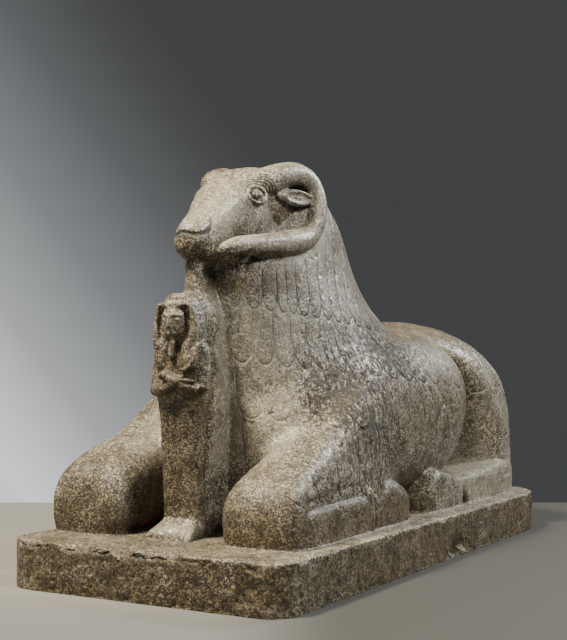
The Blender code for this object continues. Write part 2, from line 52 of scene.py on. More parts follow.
origin = (boxHigh.x - 51.8 * unit, boxLow.y, boxLow.z + 14.3 * unit)

stone = {
    "massGrain": 0.011,  # voxel of the broad masses before they are softened
    "massSoftening": 18,
    "carvingGrain": 0.0034,
    "triangles": 196000,
}
both = (1, -1)


def toMetres(points):
    return np.asarray(points, float) * unit + origin


def withModifier(mesh, kind, **settings):
    piece = bpy.data.objects.new("shaping", mesh)
    bpy.context.scene.collection.objects.link(piece)
    modifier = piece.modifiers.new(kind, kind)
    for name, value in settings.items():
        setattr(modifier, name, value)
    bpy.context.view_layer.update()
    graph = bpy.context.evaluated_depsgraph_get()
    result = bpy.data.meshes.new_from_object(piece.evaluated_get(graph))
    bpy.data.objects.remove(piece)
    return result


def fromBmesh(bm):
    bmesh.ops.recalc_face_normals(bm, faces=bm.faces)
    mesh = bpy.data.meshes.new("form")
    bm.to_mesh(mesh)
    bm.free()
    return mesh


def joinMeshes(meshes):
    bm = bmesh.new()
    for mesh in meshes:
        bm.from_mesh(mesh)
    together = bpy.data.meshes.new("together")
    bm.to_mesh(together)
    bm.free()
    return together


def pointsOf(mesh, attribute="co"):
    values = np.empty(len(mesh.vertices) * 3, np.float32)
    mesh.vertices.foreach_get(attribute, values)
    return values.reshape(-1, 3).astype(float)


def movePoints(mesh, points):
    mesh.vertices.foreach_set("co", np.asarray(points, np.float32).ravel())
    mesh.update()


def inPlace(mesh):
    movePoints(mesh, toMetres(pointsOf(mesh)))
    return mesh


def ease(value, low, high):
    share = np.clip((value - low) / (high - low), 0, 1)
    return share * share * (3 - 2 * share)


# Soft noise from -1 to 1, its lumps about a step wide; steps may differ along x, y, z
def lumps(points, step, seed):
    grid = np.random.default_rng(seed).uniform(-1, 1, (48, 48, 48))
    place = points / np.asarray(step, float)
    cell = np.floor(place).astype(int)
    part = place - cell
    part = part * part * (3 - 2 * part)
    total = np.zeros(len(points))
    for corner in itertools.product((0, 1), repeat=3):
        weight = np.prod(np.where(corner, part, 1 - part), axis=1)
        i, j, k = ((cell + corner) % 48).T
        total += weight * grid[i, j, k]
    return total


# More stations on a smooth curve through the given ones
def between(stations, steps=6):
    rows = np.array(stations, float)
    around = np.vstack([2 * rows[0] - rows[1], rows, 2 * rows[-1] - rows[-2]])
    found = []
    for i in range(len(rows) - 1):
        a, b, c, d = around[i : i + 4]
        for t in np.arange(steps) / steps:
            bend = (2 * a - 5 * b + 4 * c - d) * t**2 + (3 * b - a - 3 * c + d) * t**3
            found.append(0.5 * (2 * b + (c - a) * t + bend))
    return np.array(found + [rows[-1]])


def loft(rings):
    bm = bmesh.new()
    corners = [[bm.verts.new(point) for point in ring] for ring in rings]
    count = len(corners[0])
    for low, high in zip(corners, corners[1:]):
        for i in range(count):
            j = (i + 1) % count
            bm.faces.new((low[i], low[j], high[j], high[i]))
    bm.faces.new(corners[0])
    bm.faces.new(corners[-1])
    return fromBmesh(bm)


def oval(power, count=48):
    turn = np.linspace(0, 2 * math.pi, count, endpoint=False)
    across, up = np.cos(turn), np.sin(turn)
    return (
        np.sign(across) * np.abs(across) ** (2 / power),
        np.sign(up) * np.abs(up) ** (2 / power),
    )


# A mass from sections across it: y, lowest, widest and highest z, half width
def alongY(stations, power=2.4, x=0.0):
    across, up = oval(power)
    rings = []
    for y, low, wide, high, half in between(stations):
        z = wide + np.where(up > 0, high - wide, wide - low) * up
        rings.append(np.stack([x + half * across, np.full_like(z, y), z], axis=1))
    return loft(rings)


# A mass from level sections: z, front and back y, half width
def alongZ(stations, power=2.4, x=0.0):
    across, deep = oval(power)
    rings = []
    for z, front, back, half in between(stations):
        y = (front + back) / 2 + (back - front) / 2 * deep
        rings.append(np.stack([x + half * across, y, np.full_like(y, z)], axis=1))
    return loft(rings)


def ball(center, radii, lean=0.0):
    bm = bmesh.new()
    bmesh.ops.create_uvsphere(bm, u_segments=32, v_segments=20, radius=1)
    turn = math.radians(lean)
    for vertex in bm.verts:
        x, y, z = (value * radius for value, radius in zip(vertex.co, radii))
        y, z = y * math.cos(turn) - z * math.sin(turn), y * math.sin(turn) + z * math.cos(turn)
        vertex.co = (center[0] + x, center[1] + y, center[2] + z)
    return fromBmesh(bm)


def sidedBall(place, side):
    (x, y, z), radii = place
    return ball((side * x, y, z), radii)


def block(low, high, rounding):
    bm = bmesh.new()
    bmesh.ops.create_cube(bm, size=1)
    middle = [(a + b) / 2 for a, b in zip(low, high)]
    size = [b - a for a, b in zip(low, high)]
    for vertex in bm.verts:
        vertex.co = [m + s * c for m, s, c in zip(middle, size, vertex.co)]
    bmesh.ops.bevel(
        bm, geom=bm.edges[:], offset=rounding, segments=3, profile=0.5, affect="EDGES"
    )
    return fromBmesh(bm)


# One Geometry Nodes tree makes every round bar: horns, arms, crook, lids and tail
def barTree():
    tree = bpy.data.node_groups.new("bar along a path", "GeometryNodeTree")
    side = tree.interface
    side.new_socket("Path", in_out="INPUT", socket_type="NodeSocketGeometry")
    thickness = side.new_socket("Thickness", in_out="INPUT", socket_type="NodeSocketFloat")
    thickness.default_value = 1.0
    sides = side.new_socket("Sides", in_out="INPUT", socket_type="NodeSocketInt")
    sides.default_value = 20
    side.new_socket("Material", in_out="INPUT", socket_type="NodeSocketMaterial")
    side.new_socket("Bar", in_out="OUTPUT", socket_type="NodeSocketGeometry")
    add, link = tree.nodes.new, tree.links.new
    start, end = add("NodeGroupInput"), add("NodeGroupOutput")
    toCurve, setRadius = add("GeometryNodeMeshToCurve"), add("GeometryNodeSetCurveRadius")
    radius, scaled = add("GeometryNodeInputNamedAttribute"), add("ShaderNodeMath")
    circle, toMesh = add("GeometryNodeCurvePrimitiveCircle"), add("GeometryNodeCurveToMesh")
    realize, paint = add("GeometryNodeRealizeInstances"), add("GeometryNodeSetMaterial")
    radius.data_type, scaled.operation = "FLOAT", "MULTIPLY"
    radius.inputs["Name"].default_value = "radius"
    circle.inputs["Radius"].default_value = 1.0
    toMesh.inputs["Fill Caps"].default_value = True
    link(start.outputs["Path"], toCurve.inputs["Mesh"])
    link(radius.outputs["Attribute"], scaled.inputs[0])
    link(start.outputs["Thickness"], scaled.inputs[1])
    link(toCurve.outputs["Curve"], setRadius.inputs["Curve"])
    link(scaled.outputs["Value"], setRadius.inputs["Radius"])
    link(start.outputs["Sides"], circle.inputs["Resolution"])
    link(setRadius.outputs["Curve"], toMesh.inputs["Curve"])
    link(circle.outputs["Curve"], toMesh.inputs["Profile Curve"])
    link(scaled.outputs["Value"], toMesh.inputs["Scale"])
    link(toMesh.outputs["Mesh"], realize.inputs["Geometry"])
    link(realize.outputs["Geometry"], paint.inputs["Geometry"])
    link(start.outputs["Material"], paint.inputs["Material"])
    link(paint.outputs["Geometry"], end.inputs["Bar"])
    return tree


barNodes = barTree()


# A round bar along x, y, z with its own radius at each station
def bar(stations, thickness=1.0, sides=20):
    path = between(stations)
    mesh = bpy.data.meshes.new("path")
    mesh.from_pydata(path[:, :3].tolist(), [(i, i + 1) for i in range(len(path) - 1)], [])
    radius = mesh.attributes.new("radius", "FLOAT", "POINT")
    radius.data.foreach_set("value", path[:, 3].astype(np.float32))
    piece = bpy.data.objects.new("bar", mesh)
    modifier = piece.modifiers.new("bar", "NODES")
    modifier.node_group = barNodes
    inputs = {i.name: i.identifier for i in barNodes.interface.items_tree if i.in_out == "INPUT"}
    modifier[inputs["Thickness"]] = float(thickness)
    modifier[inputs["Sides"]] = int(sides)
    bpy.context.scene.collection.objects.link(piece)
    bpy.context.view_layer.update()
    graph = bpy.context.evaluated_depsgraph_get()
    made = bpy.data.meshes.new_from_object(piece.evaluated_get(graph))
    bpy.data.objects.remove(piece)
    bm = bmesh.new()
    bm.from_mesh(made)
    bmesh.ops.remove_doubles(bm, verts=bm.verts, dist=0.0001)
    return fromBmesh(bm)


def mirrored(stations, side):
    return [(side * row[0],) + tuple(row[1:]) for row in stations]


# Points of an arc about a direction, the start angle measured from the level
def circleAround(center, facing, radius, start=0, end=360, count=24, flatten=1.0):
    normal = np.array(facing) / np.linalg.norm(facing)
    level = np.cross((0, 0, 1), normal)
    level /= np.linalg.norm(level)
    upward = np.cross(normal, level)
    turn = np.radians(np.linspace(start, end, count))[:, None]
    return np.array(center) + radius * (np.cos(turn) * level + flatten * np.sin(turn) * upward)


def withRadius(points, radius):
    return [(*point, radius) for point in points]


body = {
    "core": [
        (46, -4, 20, 44, 20),
        (60, -4, 25, 60, 27),
        (100, -4, 30, 65, 29),
        (140, -4, 30, 66.8, 29),
        (156, -4, 30, 67.2, 27),
        (176, -4, 30, 67.6, 26),
        (188, -4, 30, 66.2, 26),
        (195, -4, 28, 62.5, 26),
        (201, -4, 24, 53, 26),
        (205, -4, 20, 40, 24),
    ],
    "belly": [
        (50, -4, 24, 48, 25),
        (60, -4, 26, 58, 33),
        (75, -4, 28, 63, 38),
        (95, -4, 30, 66, 40.5),
        (115, -4, 31, 66.5, 41.5),
        (135, -4, 33, 66.5, 42),
        (148, 1, 35, 66, 41.5),
        (156, 6, 37, 64.5, 40),
        (162, 12, 38, 61, 37),
        (166, 18, 38.5, 56, 32),
        (168.5, 26, 39, 50, 24),
    ],
    "rump": [
        (-4, 181, 209, 41.5),
        (12, 182, 209.5, 41.6),
        (22, 181, 209.5, 41.4),
        (33, 177, 209, 41.2),
        (44, 170, 207, 39.4),
        (50, 165, 204.5, 36.6),
        (56, 159, 201.5, 31.6),
        (61, 154, 198, 24.6),
        (65, 151, 193, 15.6),
        (67.3, 152, 184, 6),
    ],
    "tail": [
        (0, 195, 59, 2.5),
        (0, 203, 51, 4.4),
        (0, 207.5, 38, 5.2),
        (0, 208.2, 24, 4.8),
        (0, 208, 10, 4.2),
        (0, 208, -4, 4.0),
    ],
    "column": [
        (-4, 52, 120, 39),
        (10, 51, 120, 39),
        (20, 50, 125, 38.5),
        (30, 47.5, 130, 36.5),
        (40, 45, 132, 33),
        (50, 43.5, 134, 30),
        (60, 42, 146, 27),
        (66, 41.8, 141, 25.2),
        (70, 41.8, 134.5, 23.8),
        (75, 42, 129, 22.2),
        (80, 42.5, 125, 20.8),
        (85, 44.5, 121.5, 19.8),
        (90, 52, 117.5, 19.2),
        (95, 60, 113.2, 18.6),
        (100, 64, 108.4, 17.8),
        (105, 66, 102.5, 16.6),
        (110, 68, 96.5, 14.6),
        (113, 70, 91, 11.5),
        (115, 72, 85, 6.5),
    ],
}


def trunkForms():
    return [
        alongY(body["core"]),
        alongY(body["belly"], 2.3),
        alongZ(body["rump"], 3.4),
        bar(body["tail"]),
        alongZ(body["column"], 2.3),
    ]


legs = {
    "left": [
        (19.0, 1, 6, 8, 7),
        (19.8, -4, 7, 12.5, 10.6),
        (21.5, -4, 8, 16, 12.2),
        (25, -4, 9, 19.2, 12.8),
        (31, -4, 12, 22.2, 12.2),
        (38, -4, 14, 25.4, 11.8),
        (45, -4, 16, 28.6, 11.8),
        (52, -4, 17, 32.4, 11.8),
        (60, -4, 18, 38, 12),
        (68, -4, 19, 43, 12.4),
        (76, -4, 19, 45, 12.4),
        (80, -4, 18, 43, 12),
        (82.5, -4, 14, 38, 10),
    ],
    "right": [
        (19.0, 1, 6, 9, 8),
        (19.8, -4, 7, 14, 11.6),
        (21.5, -4, 8, 18, 13),
        (25, -4, 9, 21.6, 13.6),
        (31, -4, 10, 24.8, 13.8),
        (38, -4, 11, 27.2, 13.6),
        (45, -4, 12, 29.4, 13.2),
        (52, -4, 13, 33, 12.8),
    ],
    "cannon": [
        (23, -4, 3, 9.0, 7.6),
        (27, -4, 3, 10.0, 8.9),
        (33, -4, 3, 10.7, 9.4),
        (50, -4, 3, 11.0, 9.4),
        (66, -4, 3, 11.6, 9.4),
        (72, -4, 3, 11.6, 9.0),
        (75, -4, 3, 10.0, 7.6),
    ],
    "hoof": [
        (71, -4, 4, 8, 7.4),
        (74.5, -4, 4, 11.2, 8.4),
        (77, -4, 5, 12.6, 8.4),
        (84, -4, 6, 15.2, 9),
        (91, -4, 6, 13.8, 8.8),
        (96.5, -4, 5, 10.4, 8),
        (100, -4, 4, 6, 5),
    ],
    "foot": [
        (144.5, 6, 8, 10, 9),
        (149, 2, 6, 10.3, 10.4),
        (154, -4, 5, 10.7, 10.8),
        (170, -4, 5, 11.8, 11),
        (190, -4, 5, 13.2, 10.8),
        (200, -4, 5, 12.4, 9.4),
        (205, -4, 5, 9, 7),
    ],
    "hindHoof": [
        (116.6, -4, -1, 2.5, 8.4),
        (118.5, -4, 2, 8.2, 10),
        (122.5, -4, 6, 13.6, 10.8),
        (127, -4, 7, 14.4, 11.2),
        (136, -4, 6, 12.6, 11.2),
        (143, -4, 4, 10.9, 11),
        (146, 5, 7.5, 10.3, 10.4),
    ],
    "wrist": ((43.6, 66.5, 11.6), (1.5, 2.2, 2.4)),
    # grooves on the folded legs and hind feet, raised where the depth is negative
    "lines": [
        ([(44.8, 69.6, 1), (44.8, 70.0, 11.5)], 0.7, 0.8),
        ([(43.4, 30, 14.2), (43.2, 42, 16.4), (42.9, 56, 19.2)], 1.2, -0.55),
        ([(43.4, 30, 12.6), (43.2, 44, 13.8), (43.0, 62, 15.0)], 0.8, 0.45),
        ([(43.8, 24, 12.0), (43.8, 66, 12.9)], 0.45, -0.3),
        ([(41.5, 149, 6.6), (43.4, 196, 7.6)], 0.5, 0.35),
        ([(41.5, 149, 5.2), (43.4, 198, 6.0)], 0.6, -0.25),
    ],
}


def forelegForms():
    return [alongY(legs["left"], 3.0, 31), alongY(legs["right"] + legs["left"][8:], 3.0, -31)]


def foldedForms():
    found = []
    for side in both:
        found.append(alongY(legs["cannon"], 7.0, side * 35.4))
        found.append(sidedBall(legs["wrist"], side))
        found.append(alongY(legs["hoof"], 3.2, side * 35.8))
        found.append(alongY(legs["foot"], 5.0, side * 32.5))
        found.append(alongY(legs["hindHoof"], 4.6, side * 32.5))
    return found


headShape = {
    "skull": [
        (28.8, 86.6, 88.6, 90.6, 2.8),
        (30, 85.2, 88.8, 92.8, 4.5),
        (32.4, 84.0, 89.4, 95.2, 5.6),
        (35.8, 83.4, 90.6, 97.8, 6.5),
        (40, 83.2, 92, 101.6, 7.1),
        (45.5, 84, 97.4, 106.4, 9.1),
        (51, 85, 101, 110.4, 10.8),
        (57, 86, 103.6, 113.8, 12.0),
        (63, 87, 103.5, 115.6, 11.8),
        (71, 88, 102, 116.0, 11.8),
        (80, 90, 101, 112.5, 11),
        (88, 93, 100, 106, 8),
    ],
    "jaw": [
        (31.4, 83.6, 85.2, 87, 1.6),
        (33.4, 82.4, 85.6, 89, 3.2),
        (37, 82.0, 86.4, 91, 4.6),
        (44, 82.6, 88, 94, 5.8),
        (54, 84, 90, 98, 7.5),
    ],
    "horn": [
        (3.6, 56, 107.2, 4.2),
        (9.3, 60.5, 109.6, 4.8),
        (12.0, 66.8, 112.2, 4.4),
        (13.8, 74, 113.4, 4.0),
        (15.8, 79.4, 110.6, 3.7),
        (17.6, 80.6, 104.6, 3.5),
        (18.0, 79.0, 98.6, 3.6),
        (17.6, 75, 93.6, 3.8),
        (17, 68.5, 91.2, 4.1),
        (16.2, 61, 89.9, 3.9),
        (15.0, 54, 89.2, 3.5),
        (13.2, 46.5, 88.5, 3.3),
        (11.4, 41, 87.9, 2.9),
        (9.8, 37.2, 86.9, 2.1),
        (9.0, 34.8, 86.1, 1.1),
    ],
    "rightHornEnd": 50,
    "eye": (11.3, 53.6, 104.9),
    "eyeFacing": (0.91, -0.32, 0.27),
    "eyeLength": 1.25,  # against its height
    "lids": (3.7, 0.5),  # how far from the middle, and how thick
    "lidLine": (2.7, 0.34, 0.6),  # how far from the middle, width, depth
    "pupil": (0.9, 0.3, 0.25),
    "eyeball": ((10.7, 53.9, 104.8), (1.9, 2.5, 1.9)),
    "temple": ((7.5, 70, 103), (6.4, 12.5, 9.6)),
    "ear": (15.6, 70.8, 105.5),
    "earSize": (1.7, 9.0, 2.9),  # thickness, length, height, each from its middle
    "earTurn": 14,
    "earHollow": (0.6, 6.4, 2.0, 1.1),  # middle along the ear, half length and height, depth
    "mouth": [(0, 28.9, 87.4), (3.5, 30.2, 87.2), (6.2, 35, 87.2), (7.2, 42, 88.2)],
    "crease": [
        (0, 29.0, 91.7),
        (2.6, 29.4, 91.2),
        (3.9, 30.8, 91.0),
        (5.0, 32.8, 91.4),
        (5.8, 34.6, 92.4),
        (5.9, 35.8, 94.2),
        (5.3, 36.0, 96.0),
        (4.2, 35.4, 97.3),
    ],
    "backLine": [  # round the back of the horn, and again a little behind
        (19.5, 82.0, 108.5),
        (20.2, 84.2, 102.5),
        (20.6, 82.8, 96.5),
        (20.4, 78.6, 91.0),
        (19.8, 73.5, 87.4),
    ],
    "backLineShifts": (0.0, 1.5),
    "muzzle": [
        (28.9, 87.4, 89.4, 91.4, 2.4),
        (29.6, 86.0, 89.6, 93.0, 3.2),
        (31.0, 84.8, 89.8, 94.8, 4.0),
        (33.0, 84.0, 90.0, 96.4, 5.1),
        (35.5, 83.6, 90.4, 98.2, 6.2),
        (39.0, 83.4, 91.4, 100.6, 6.9),
        (42.0, 84.0, 92.6, 102.4, 7.2),
    ],
}


def eyeOval(size, count):
    flat = 0.9 / headShape["eyeLength"]
    return circleAround(headShape["eye"], headShape["eyeFacing"], size, count=count, flatten=flat)


# An ear: pointed at both ends, turned a little away from the head towards its tip
def leaf(middle, size, turn, side):
    bm = bmesh.new()
    bmesh.ops.create_uvsphere(bm, u_segments=32, v_segments=24, radius=1)
    angle = math.radians(turn)
    for vertex in bm.verts:
        x, z, y = vertex.co
        sharpen = 1 - 0.35 * y * y
        x, y, z = x * size[0] * sharpen, y * size[1], z * size[2] * sharpen
        x, y = x + y * math.sin(angle), y * math.cos(angle)
        vertex.co = (side * (middle[0] + x), middle[1] + y, middle[2] + z)
    return fromBmesh(bm)


def headForms():
    found = [alongY(headShape["muzzle"], 2.3)]
    for side in both:
        lastY = headShape["rightHornEnd"] if side < 0 else 0
        horn = [row for row in headShape["horn"] if row[1] > lastY]
        found.append(bar(mirrored(horn, side), sides=28))
        size, thickness = headShape["lids"]
        found.append(bar(mirrored(withRadius(eyeOval(size, 15), thickness), side)))
        found.append(sidedBall(headShape["eyeball"], side))
        found.append(leaf(headShape["ear"], headShape["earSize"], headShape["earTurn"], side))
        found.append(sidedBall(headShape["temple"], side))
    return found


king = {
    "pillar": [
        (-4, 32, 50, 5.2),
        (8, 32, 50, 4.8),
        (29, 32, 48, 5.8),
        (43, 32, 46, 7.2),
        (58, 32, 44, 7.2),
        (66, 32, 44, 6.2),
        (72, 32, 44, 4.2),
        (76, 32.6, 44, 2.9),
        (86, 32.6, 44, 2.7),
    ],
    "feet": [
        (20.4, -4, 0, 1.6, 7.0),
        (21.2, -4, 1, 2.8, 7.9),
        (23.5, -4, 1, 4.2, 7.5),
        (27, -4, 2, 6.4, 6.7),
        (30, -4, 3, 9.6, 5.8),
        (33, -4, 3, 11, 5.4),
    ],
    "wrapped": [
        (-4, 26.4, 34, 6.6),
        (7, 26.2, 34, 6.5),
        (14, 25.8, 34, 6.6),
        (22, 25.4, 34, 6.9),
        (30, 25.2, 34, 7.1),
        (36, 24.8, 34, 7.4),
        (41, 24.4, 34, 8.2),
        (44, 24.0, 34, 8.5),
        (50, 23.9, 34, 8.4),
        (55, 24.4, 34, 8.2),
        (58, 25.6, 33.6, 7.6),
        (60, 26.8, 33, 6.0),
        (62, 27.6, 33, 4.2),
    ],
    "headdress": [
        (55.5, 26.2, 33.5, 6.8),
        (59, 25.2, 34, 7.2),
        (63, 24.6, 34, 7.0),
        (67, 24.3, 34, 6.3),
        (70, 24.2, 33.8, 5.4),
        (72, 24.4, 33.2, 4.5),
        (73.2, 26.0, 32.0, 2.8),
    ],
    "head": ((0, 26.4, 64.6), (4.9, 4.6, 6.5)),
    "beard": [(0, 23.6, 59.4, 0.8), (0, 23.6, 56.4, 0.8), (0, 23.5, 53.4, 0.9)],
    "flap": [
        (5.0, 24.9, 70.0, 1.2),
        (6.0, 25.2, 66.5, 1.4),
        (6.5, 25.3, 62.5, 1.5),
        (6.2, 24.9, 58.6, 1.6),
        (5.8, 24.6, 56.6, 1.5),
    ],
    "upperArm": [(7.4, 28.6, 57, 2.0), (8.0, 28.2, 50, 2.2), (8.0, 27.2, 44.4, 2.1)],
    "lappets": [(5.2, 2.6), (4.3, 2.1)],  # middle and half width, his left and his right
    "hem": [
        (2.6, 22.7, 50.2, 0.45),
        (5.6, 22.8, 50.6, 0.5),
        (7.7, 23.4, 53.4, 0.5),
        (8.3, 24.6, 57.2, 0.5),
        (9.0, 28.6, 59.4, 0.45),
    ],
    "crook": [(2.5, 21.9, 47.4, 0.5), (5.4, 22.4, 47.2, 0.5), (8.2, 24.0, 46.8, 0.45)],
    "flail": [(2.5, 21.9, 46.0, 0.5), (5.6, 22.5, 45.4, 0.5), (8.3, 24.2, 44.8, 0.45)],
    "foreArm": [(7.8, 25.8, 44.0, 1.9), (3.0, 23.1, 45.4, 1.7), (-1.6, 22.9, 47, 1.5)],
    "hand": ((-2.6, 22.7, 47.6), (1.9, 1.5, 1.6)),
    "band": ((-4.3, 22.9, 68.8), (4.3, 27, 70.4), 0.5),
    "eye": ((1.8, 22.3, 65.0), (0.95, 0.45, 0.42)),
    "brow": [(0.7, 21.8, 66.3, 0.3), (1.9, 22.0, 66.6, 0.32), (3.4, 23.0, 66.1, 0.25)],
    "nose": [(0, 21.9, 65.8, 0.4), (0, 21.4, 63.8, 0.5), (0, 21.3, 62.6, 0.7)],
    "lips": [((0, 22.3, 61.0), (1.6, 0.5, 0.35)), ((0, 22.5, 60.4), (1.3, 0.5, 0.35))],
    "besideFace": [(4.7, 24.2, 68.4), (5.1, 24.2, 64), (4.5, 24.2, 60.2), (2.6, 24.2, 58.6)],
    "betweenLegs": [(0, 25, 8.0), (0, 25, 40.0)],
    "stripe": 1.3,  # from one to the next on the headdress
    "fold": 1.9,
    "finger": 0.95,
}


def kingForms():
    found = [
        alongZ(king["pillar"], 4.0),
        alongY(king["feet"], 3.2),
        alongZ(king["wrapped"], 2.7),
        alongZ(king["headdress"], 2.6),
        ball(*king["head"]),
        block(*king["band"]),
        bar(king["beard"]),
        bar(king["crook"]),
        bar(king["flail"]),
        bar(king["hem"]),
    ]
    for side, (middle, half) in zip(both, king["lappets"]):
        found.append(bar(mirrored(king["flap"], side)))
        lappet = [
            (50.4, 23.5, 26, half - 0.1),
            (54, 23.2, 27, half),
            (58, 23.6, 27, half - 0.3),
            (61, 24.4, 27, half - 1),
        ]
        found.append(alongZ(lappet, 3.4, side * middle))
        found.append(bar(mirrored(king["upperArm"], side)))
        rise = 0.9 * side  # his left hand lies above the right one
        elbow, *towardsHand = king["foreArm"]
        foreArm = [elbow] + [(x, y, z + rise, radius) for x, y, z, radius in towardsHand]
        found.append(bar(mirrored(foreArm, side)))
        (x, y, z), radii = king["hand"]
        found.append(ball((side * x, y, z + rise), radii))
        found.append(sidedBall(king["eye"], side))
        found.append(bar(mirrored(king["brow"], side)))
    found.append(bar(king["nose"]))
    return found + [ball(*lip) for lip in king["lips"]]


plinthShape = {"thickness": 14.3, "left": 8, "right": 11.5, "back": 24, "below": 0.022}


# The plinth's outline in metres, with its worn corners
def plinthForm():
    low, high = boxLow, boxHigh
    corners = [
        (high.x, high.y, plinthShape["back"], 0),
        (low.x, high.y, plinthShape["back"], 90),
        (low.x, low.y, plinthShape["right"], 180),
        (high.x, low.y, plinthShape["left"], 270),
    ]
    middleX = (low.x + high.x) / 2
    outline = []
    for x, y, radius, start in corners:
        radius *= unit
        x += math.copysign(radius, middleX - x)
        y += math.copysign(radius, -y)
        for turn in np.radians(np.linspace(start, start + 90, 13)):
            outline.append((x + radius * math.cos(turn), y + radius * math.sin(turn)))
    below = low.z - plinthShape["below"]
    bm = bmesh.new()
    bottom = bm.faces.new([bm.verts.new((x, y, below)) for x, y in outline])
    raised = bmesh.ops.extrude_face_region(bm, geom=[bottom])["geom"]
    top = [piece for piece in raised if isinstance(piece, bmesh.types.BMVert)]
    bmesh.ops.translate(bm, vec=(0, 0, origin[2] - below), verts=top)
    return fromBmesh(bm)


def distanceToPath(points, path):
    path = np.asarray(path, float)
    nearest = np.full(len(points), np.inf)
    for start, end in zip(path[:-1], path[1:]):
        run = end - start
        share = np.clip(((points - start) @ run) / (run @ run), 0, 1)
        gap = np.linalg.norm(points - start - share[:, None] * run, axis=1)
        nearest = np.minimum(nearest, gap)
    return nearest


locks = {
    "row": 17.0,
    "tip": 0.62,
    "firstRow": 4.12,
    "lean": 0.09,
    "width": (7.3, 1.25, 4.6, 9.8),  # in the row under the chin, wider by, least, most
    "topRow": -1,  # the locks of this row reach all the way up
    "line": 0.28,
    "depth": 0.2,
    # heights, and where the neck's front is and how wide it is to each side there
    "neckFront": ((0, 20, 40, 60, 90), (52, 50, 45, 42, 43)),
    "neckHalf": ((0, 20, 30, 45, 60, 75, 90, 105), (39, 38.5, 36.5, 31, 27, 22, 18, 15)),
    "rearTurn": (188, 198, 200, 38),  # where the rows turn round the rump, and its half width
}


# Where a point lies among the locks: how far round the neck and along the flank, in which
# row, and how far the odd rows are shifted
def lockPlace(own):
    x, y, z = np.abs(own[:, 0]), own[:, 1], own[:, 2]
    half = np.interp(z, *locks["neckHalf"])
    bend = np.interp(z, *locks["neckFront"]) + half
    turned = np.arctan2(x, np.maximum(bend - y, 0.01))
    start, last, end, rearHalf = locks["rearTurn"]
    along = np.minimum(y, last) - bend + ease(y, start, end) * (rearHalf - x)
    around = np.where(y < bend, half * turned, half * math.pi / 2 + along)
    row = z + 0.25 * np.maximum(34 - z, 0) * (1 - ease(y, 75, 95)) + locks["lean"] * around
    around = around - 0.25 * np.maximum(around - 60, 0)
    arm = (1 - ease(z, 26, 36)) * ease(x, 19, 24) * (1 - ease(y, 76, 88))
    around = around * (1 - arm) + (0.715 * (y - 20.4) + 9.8) * arm
    return around, locks["firstRow"] - row / locks["row"], 0.5 * ease(around, 22, 34)


# Distance to the nearest line that draws a lock
def lockDistance(own):
    around, row, shifted = lockPlace(own)
    level = np.maximum(np.floor(row), locks["topRow"])
    down = row - level
    first, wider, least, most = locks["width"]

    def width(step):
        return np.clip(first + wider * (level + step), least, most)

    def across(step):
        moved = around / width(step) + shifted * np.mod(level + step, 2)
        return moved - np.floor(moved) - 0.5

    here, below, above = across(0), across(1), across(-1)
    rest = 1 - locks["tip"]
    size = np.minimum(width(0) / 2, locks["row"] * rest)
    tip = np.hypot(2 * here, np.maximum(down - locks["tip"], 0) / rest)
    upperTip = np.hypot(2 * above, (down + rest) / rest)
    sideHere, sideBelow = (0.5 - np.abs(here)) * width(0), (0.5 - np.abs(below)) * width(1)
    toTip, toUpper = np.abs(1 - tip) * size, np.abs(upperTip - 1) * size
    toUpper = np.where(level > locks["topRow"], toUpper, most)
    own = np.where(down < locks["tip"], np.minimum(sideHere, toUpper), toTip)
    inside = (down < locks["tip"]) | (tip < 1)
    return np.where(inside, own, np.minimum(sideBelow, toTip))


# 1 where the stone shows fleece, 0 on the face, hooves, belly, king and plinth
def fleeceShare(own):
    x, y, z = np.abs(own[:, 0]), own[:, 1], own[:, 2]
    share = ease(z, 19, 24) * ease(y, 40, 42)
    share *= 1 - ease(y, 92, 104) * (1 - ease(z, 30, 36)) * (1 - ease(y, 156, 160))
    arm = ease(y, 21, 23) * ease(z, 11.4, 12.4) * ease(x, 30, 38) * (1 - ease(y, 80, 83))
    share = np.maximum(share, arm)
    face = (1 - ease(y, 62, 68)) * ease(z, 79, 83)
    inHorn = np.hypot(y - 70, z - 103) < 21
    share *= (1 - face) * np.where(inHorn & (z > 84), 0, 1)
    middle = (x < 8.5) & (y < 52)
    recess = (x < 34) & (y > 160) & (y < 186) & (z < 52)
    return share * np.where(middle | recess, 0, 1)


def groove(points, path, width, depth):
    return depth * np.exp(-((distanceToPath(points, path) / width) ** 2))


# The right side's points laid over the left side's
def toOneSide(own):
    return np.stack([np.abs(own[:, 0]), own[:, 1], own[:, 2]], axis=1)


def earHollow(sided):
    turn = math.radians(headShape["earTurn"])
    out, along, up = (sided - np.array(headShape["ear"])).T
    out, along = (
        out * math.cos(turn) - along * math.sin(turn),
        along * math.cos(turn) + out * math.sin(turn),
    )
    middle, length, height, depth = headShape["earHollow"]
    narrowed = height * (1 - 0.3 * (along / 8) ** 2)
    reach = np.hypot((along - middle) / length, (up - 0.1) / narrowed)
    return depth * (1 - ease(reach, 0.72, 1.0)) * ease(out, 0.0, 0.8)


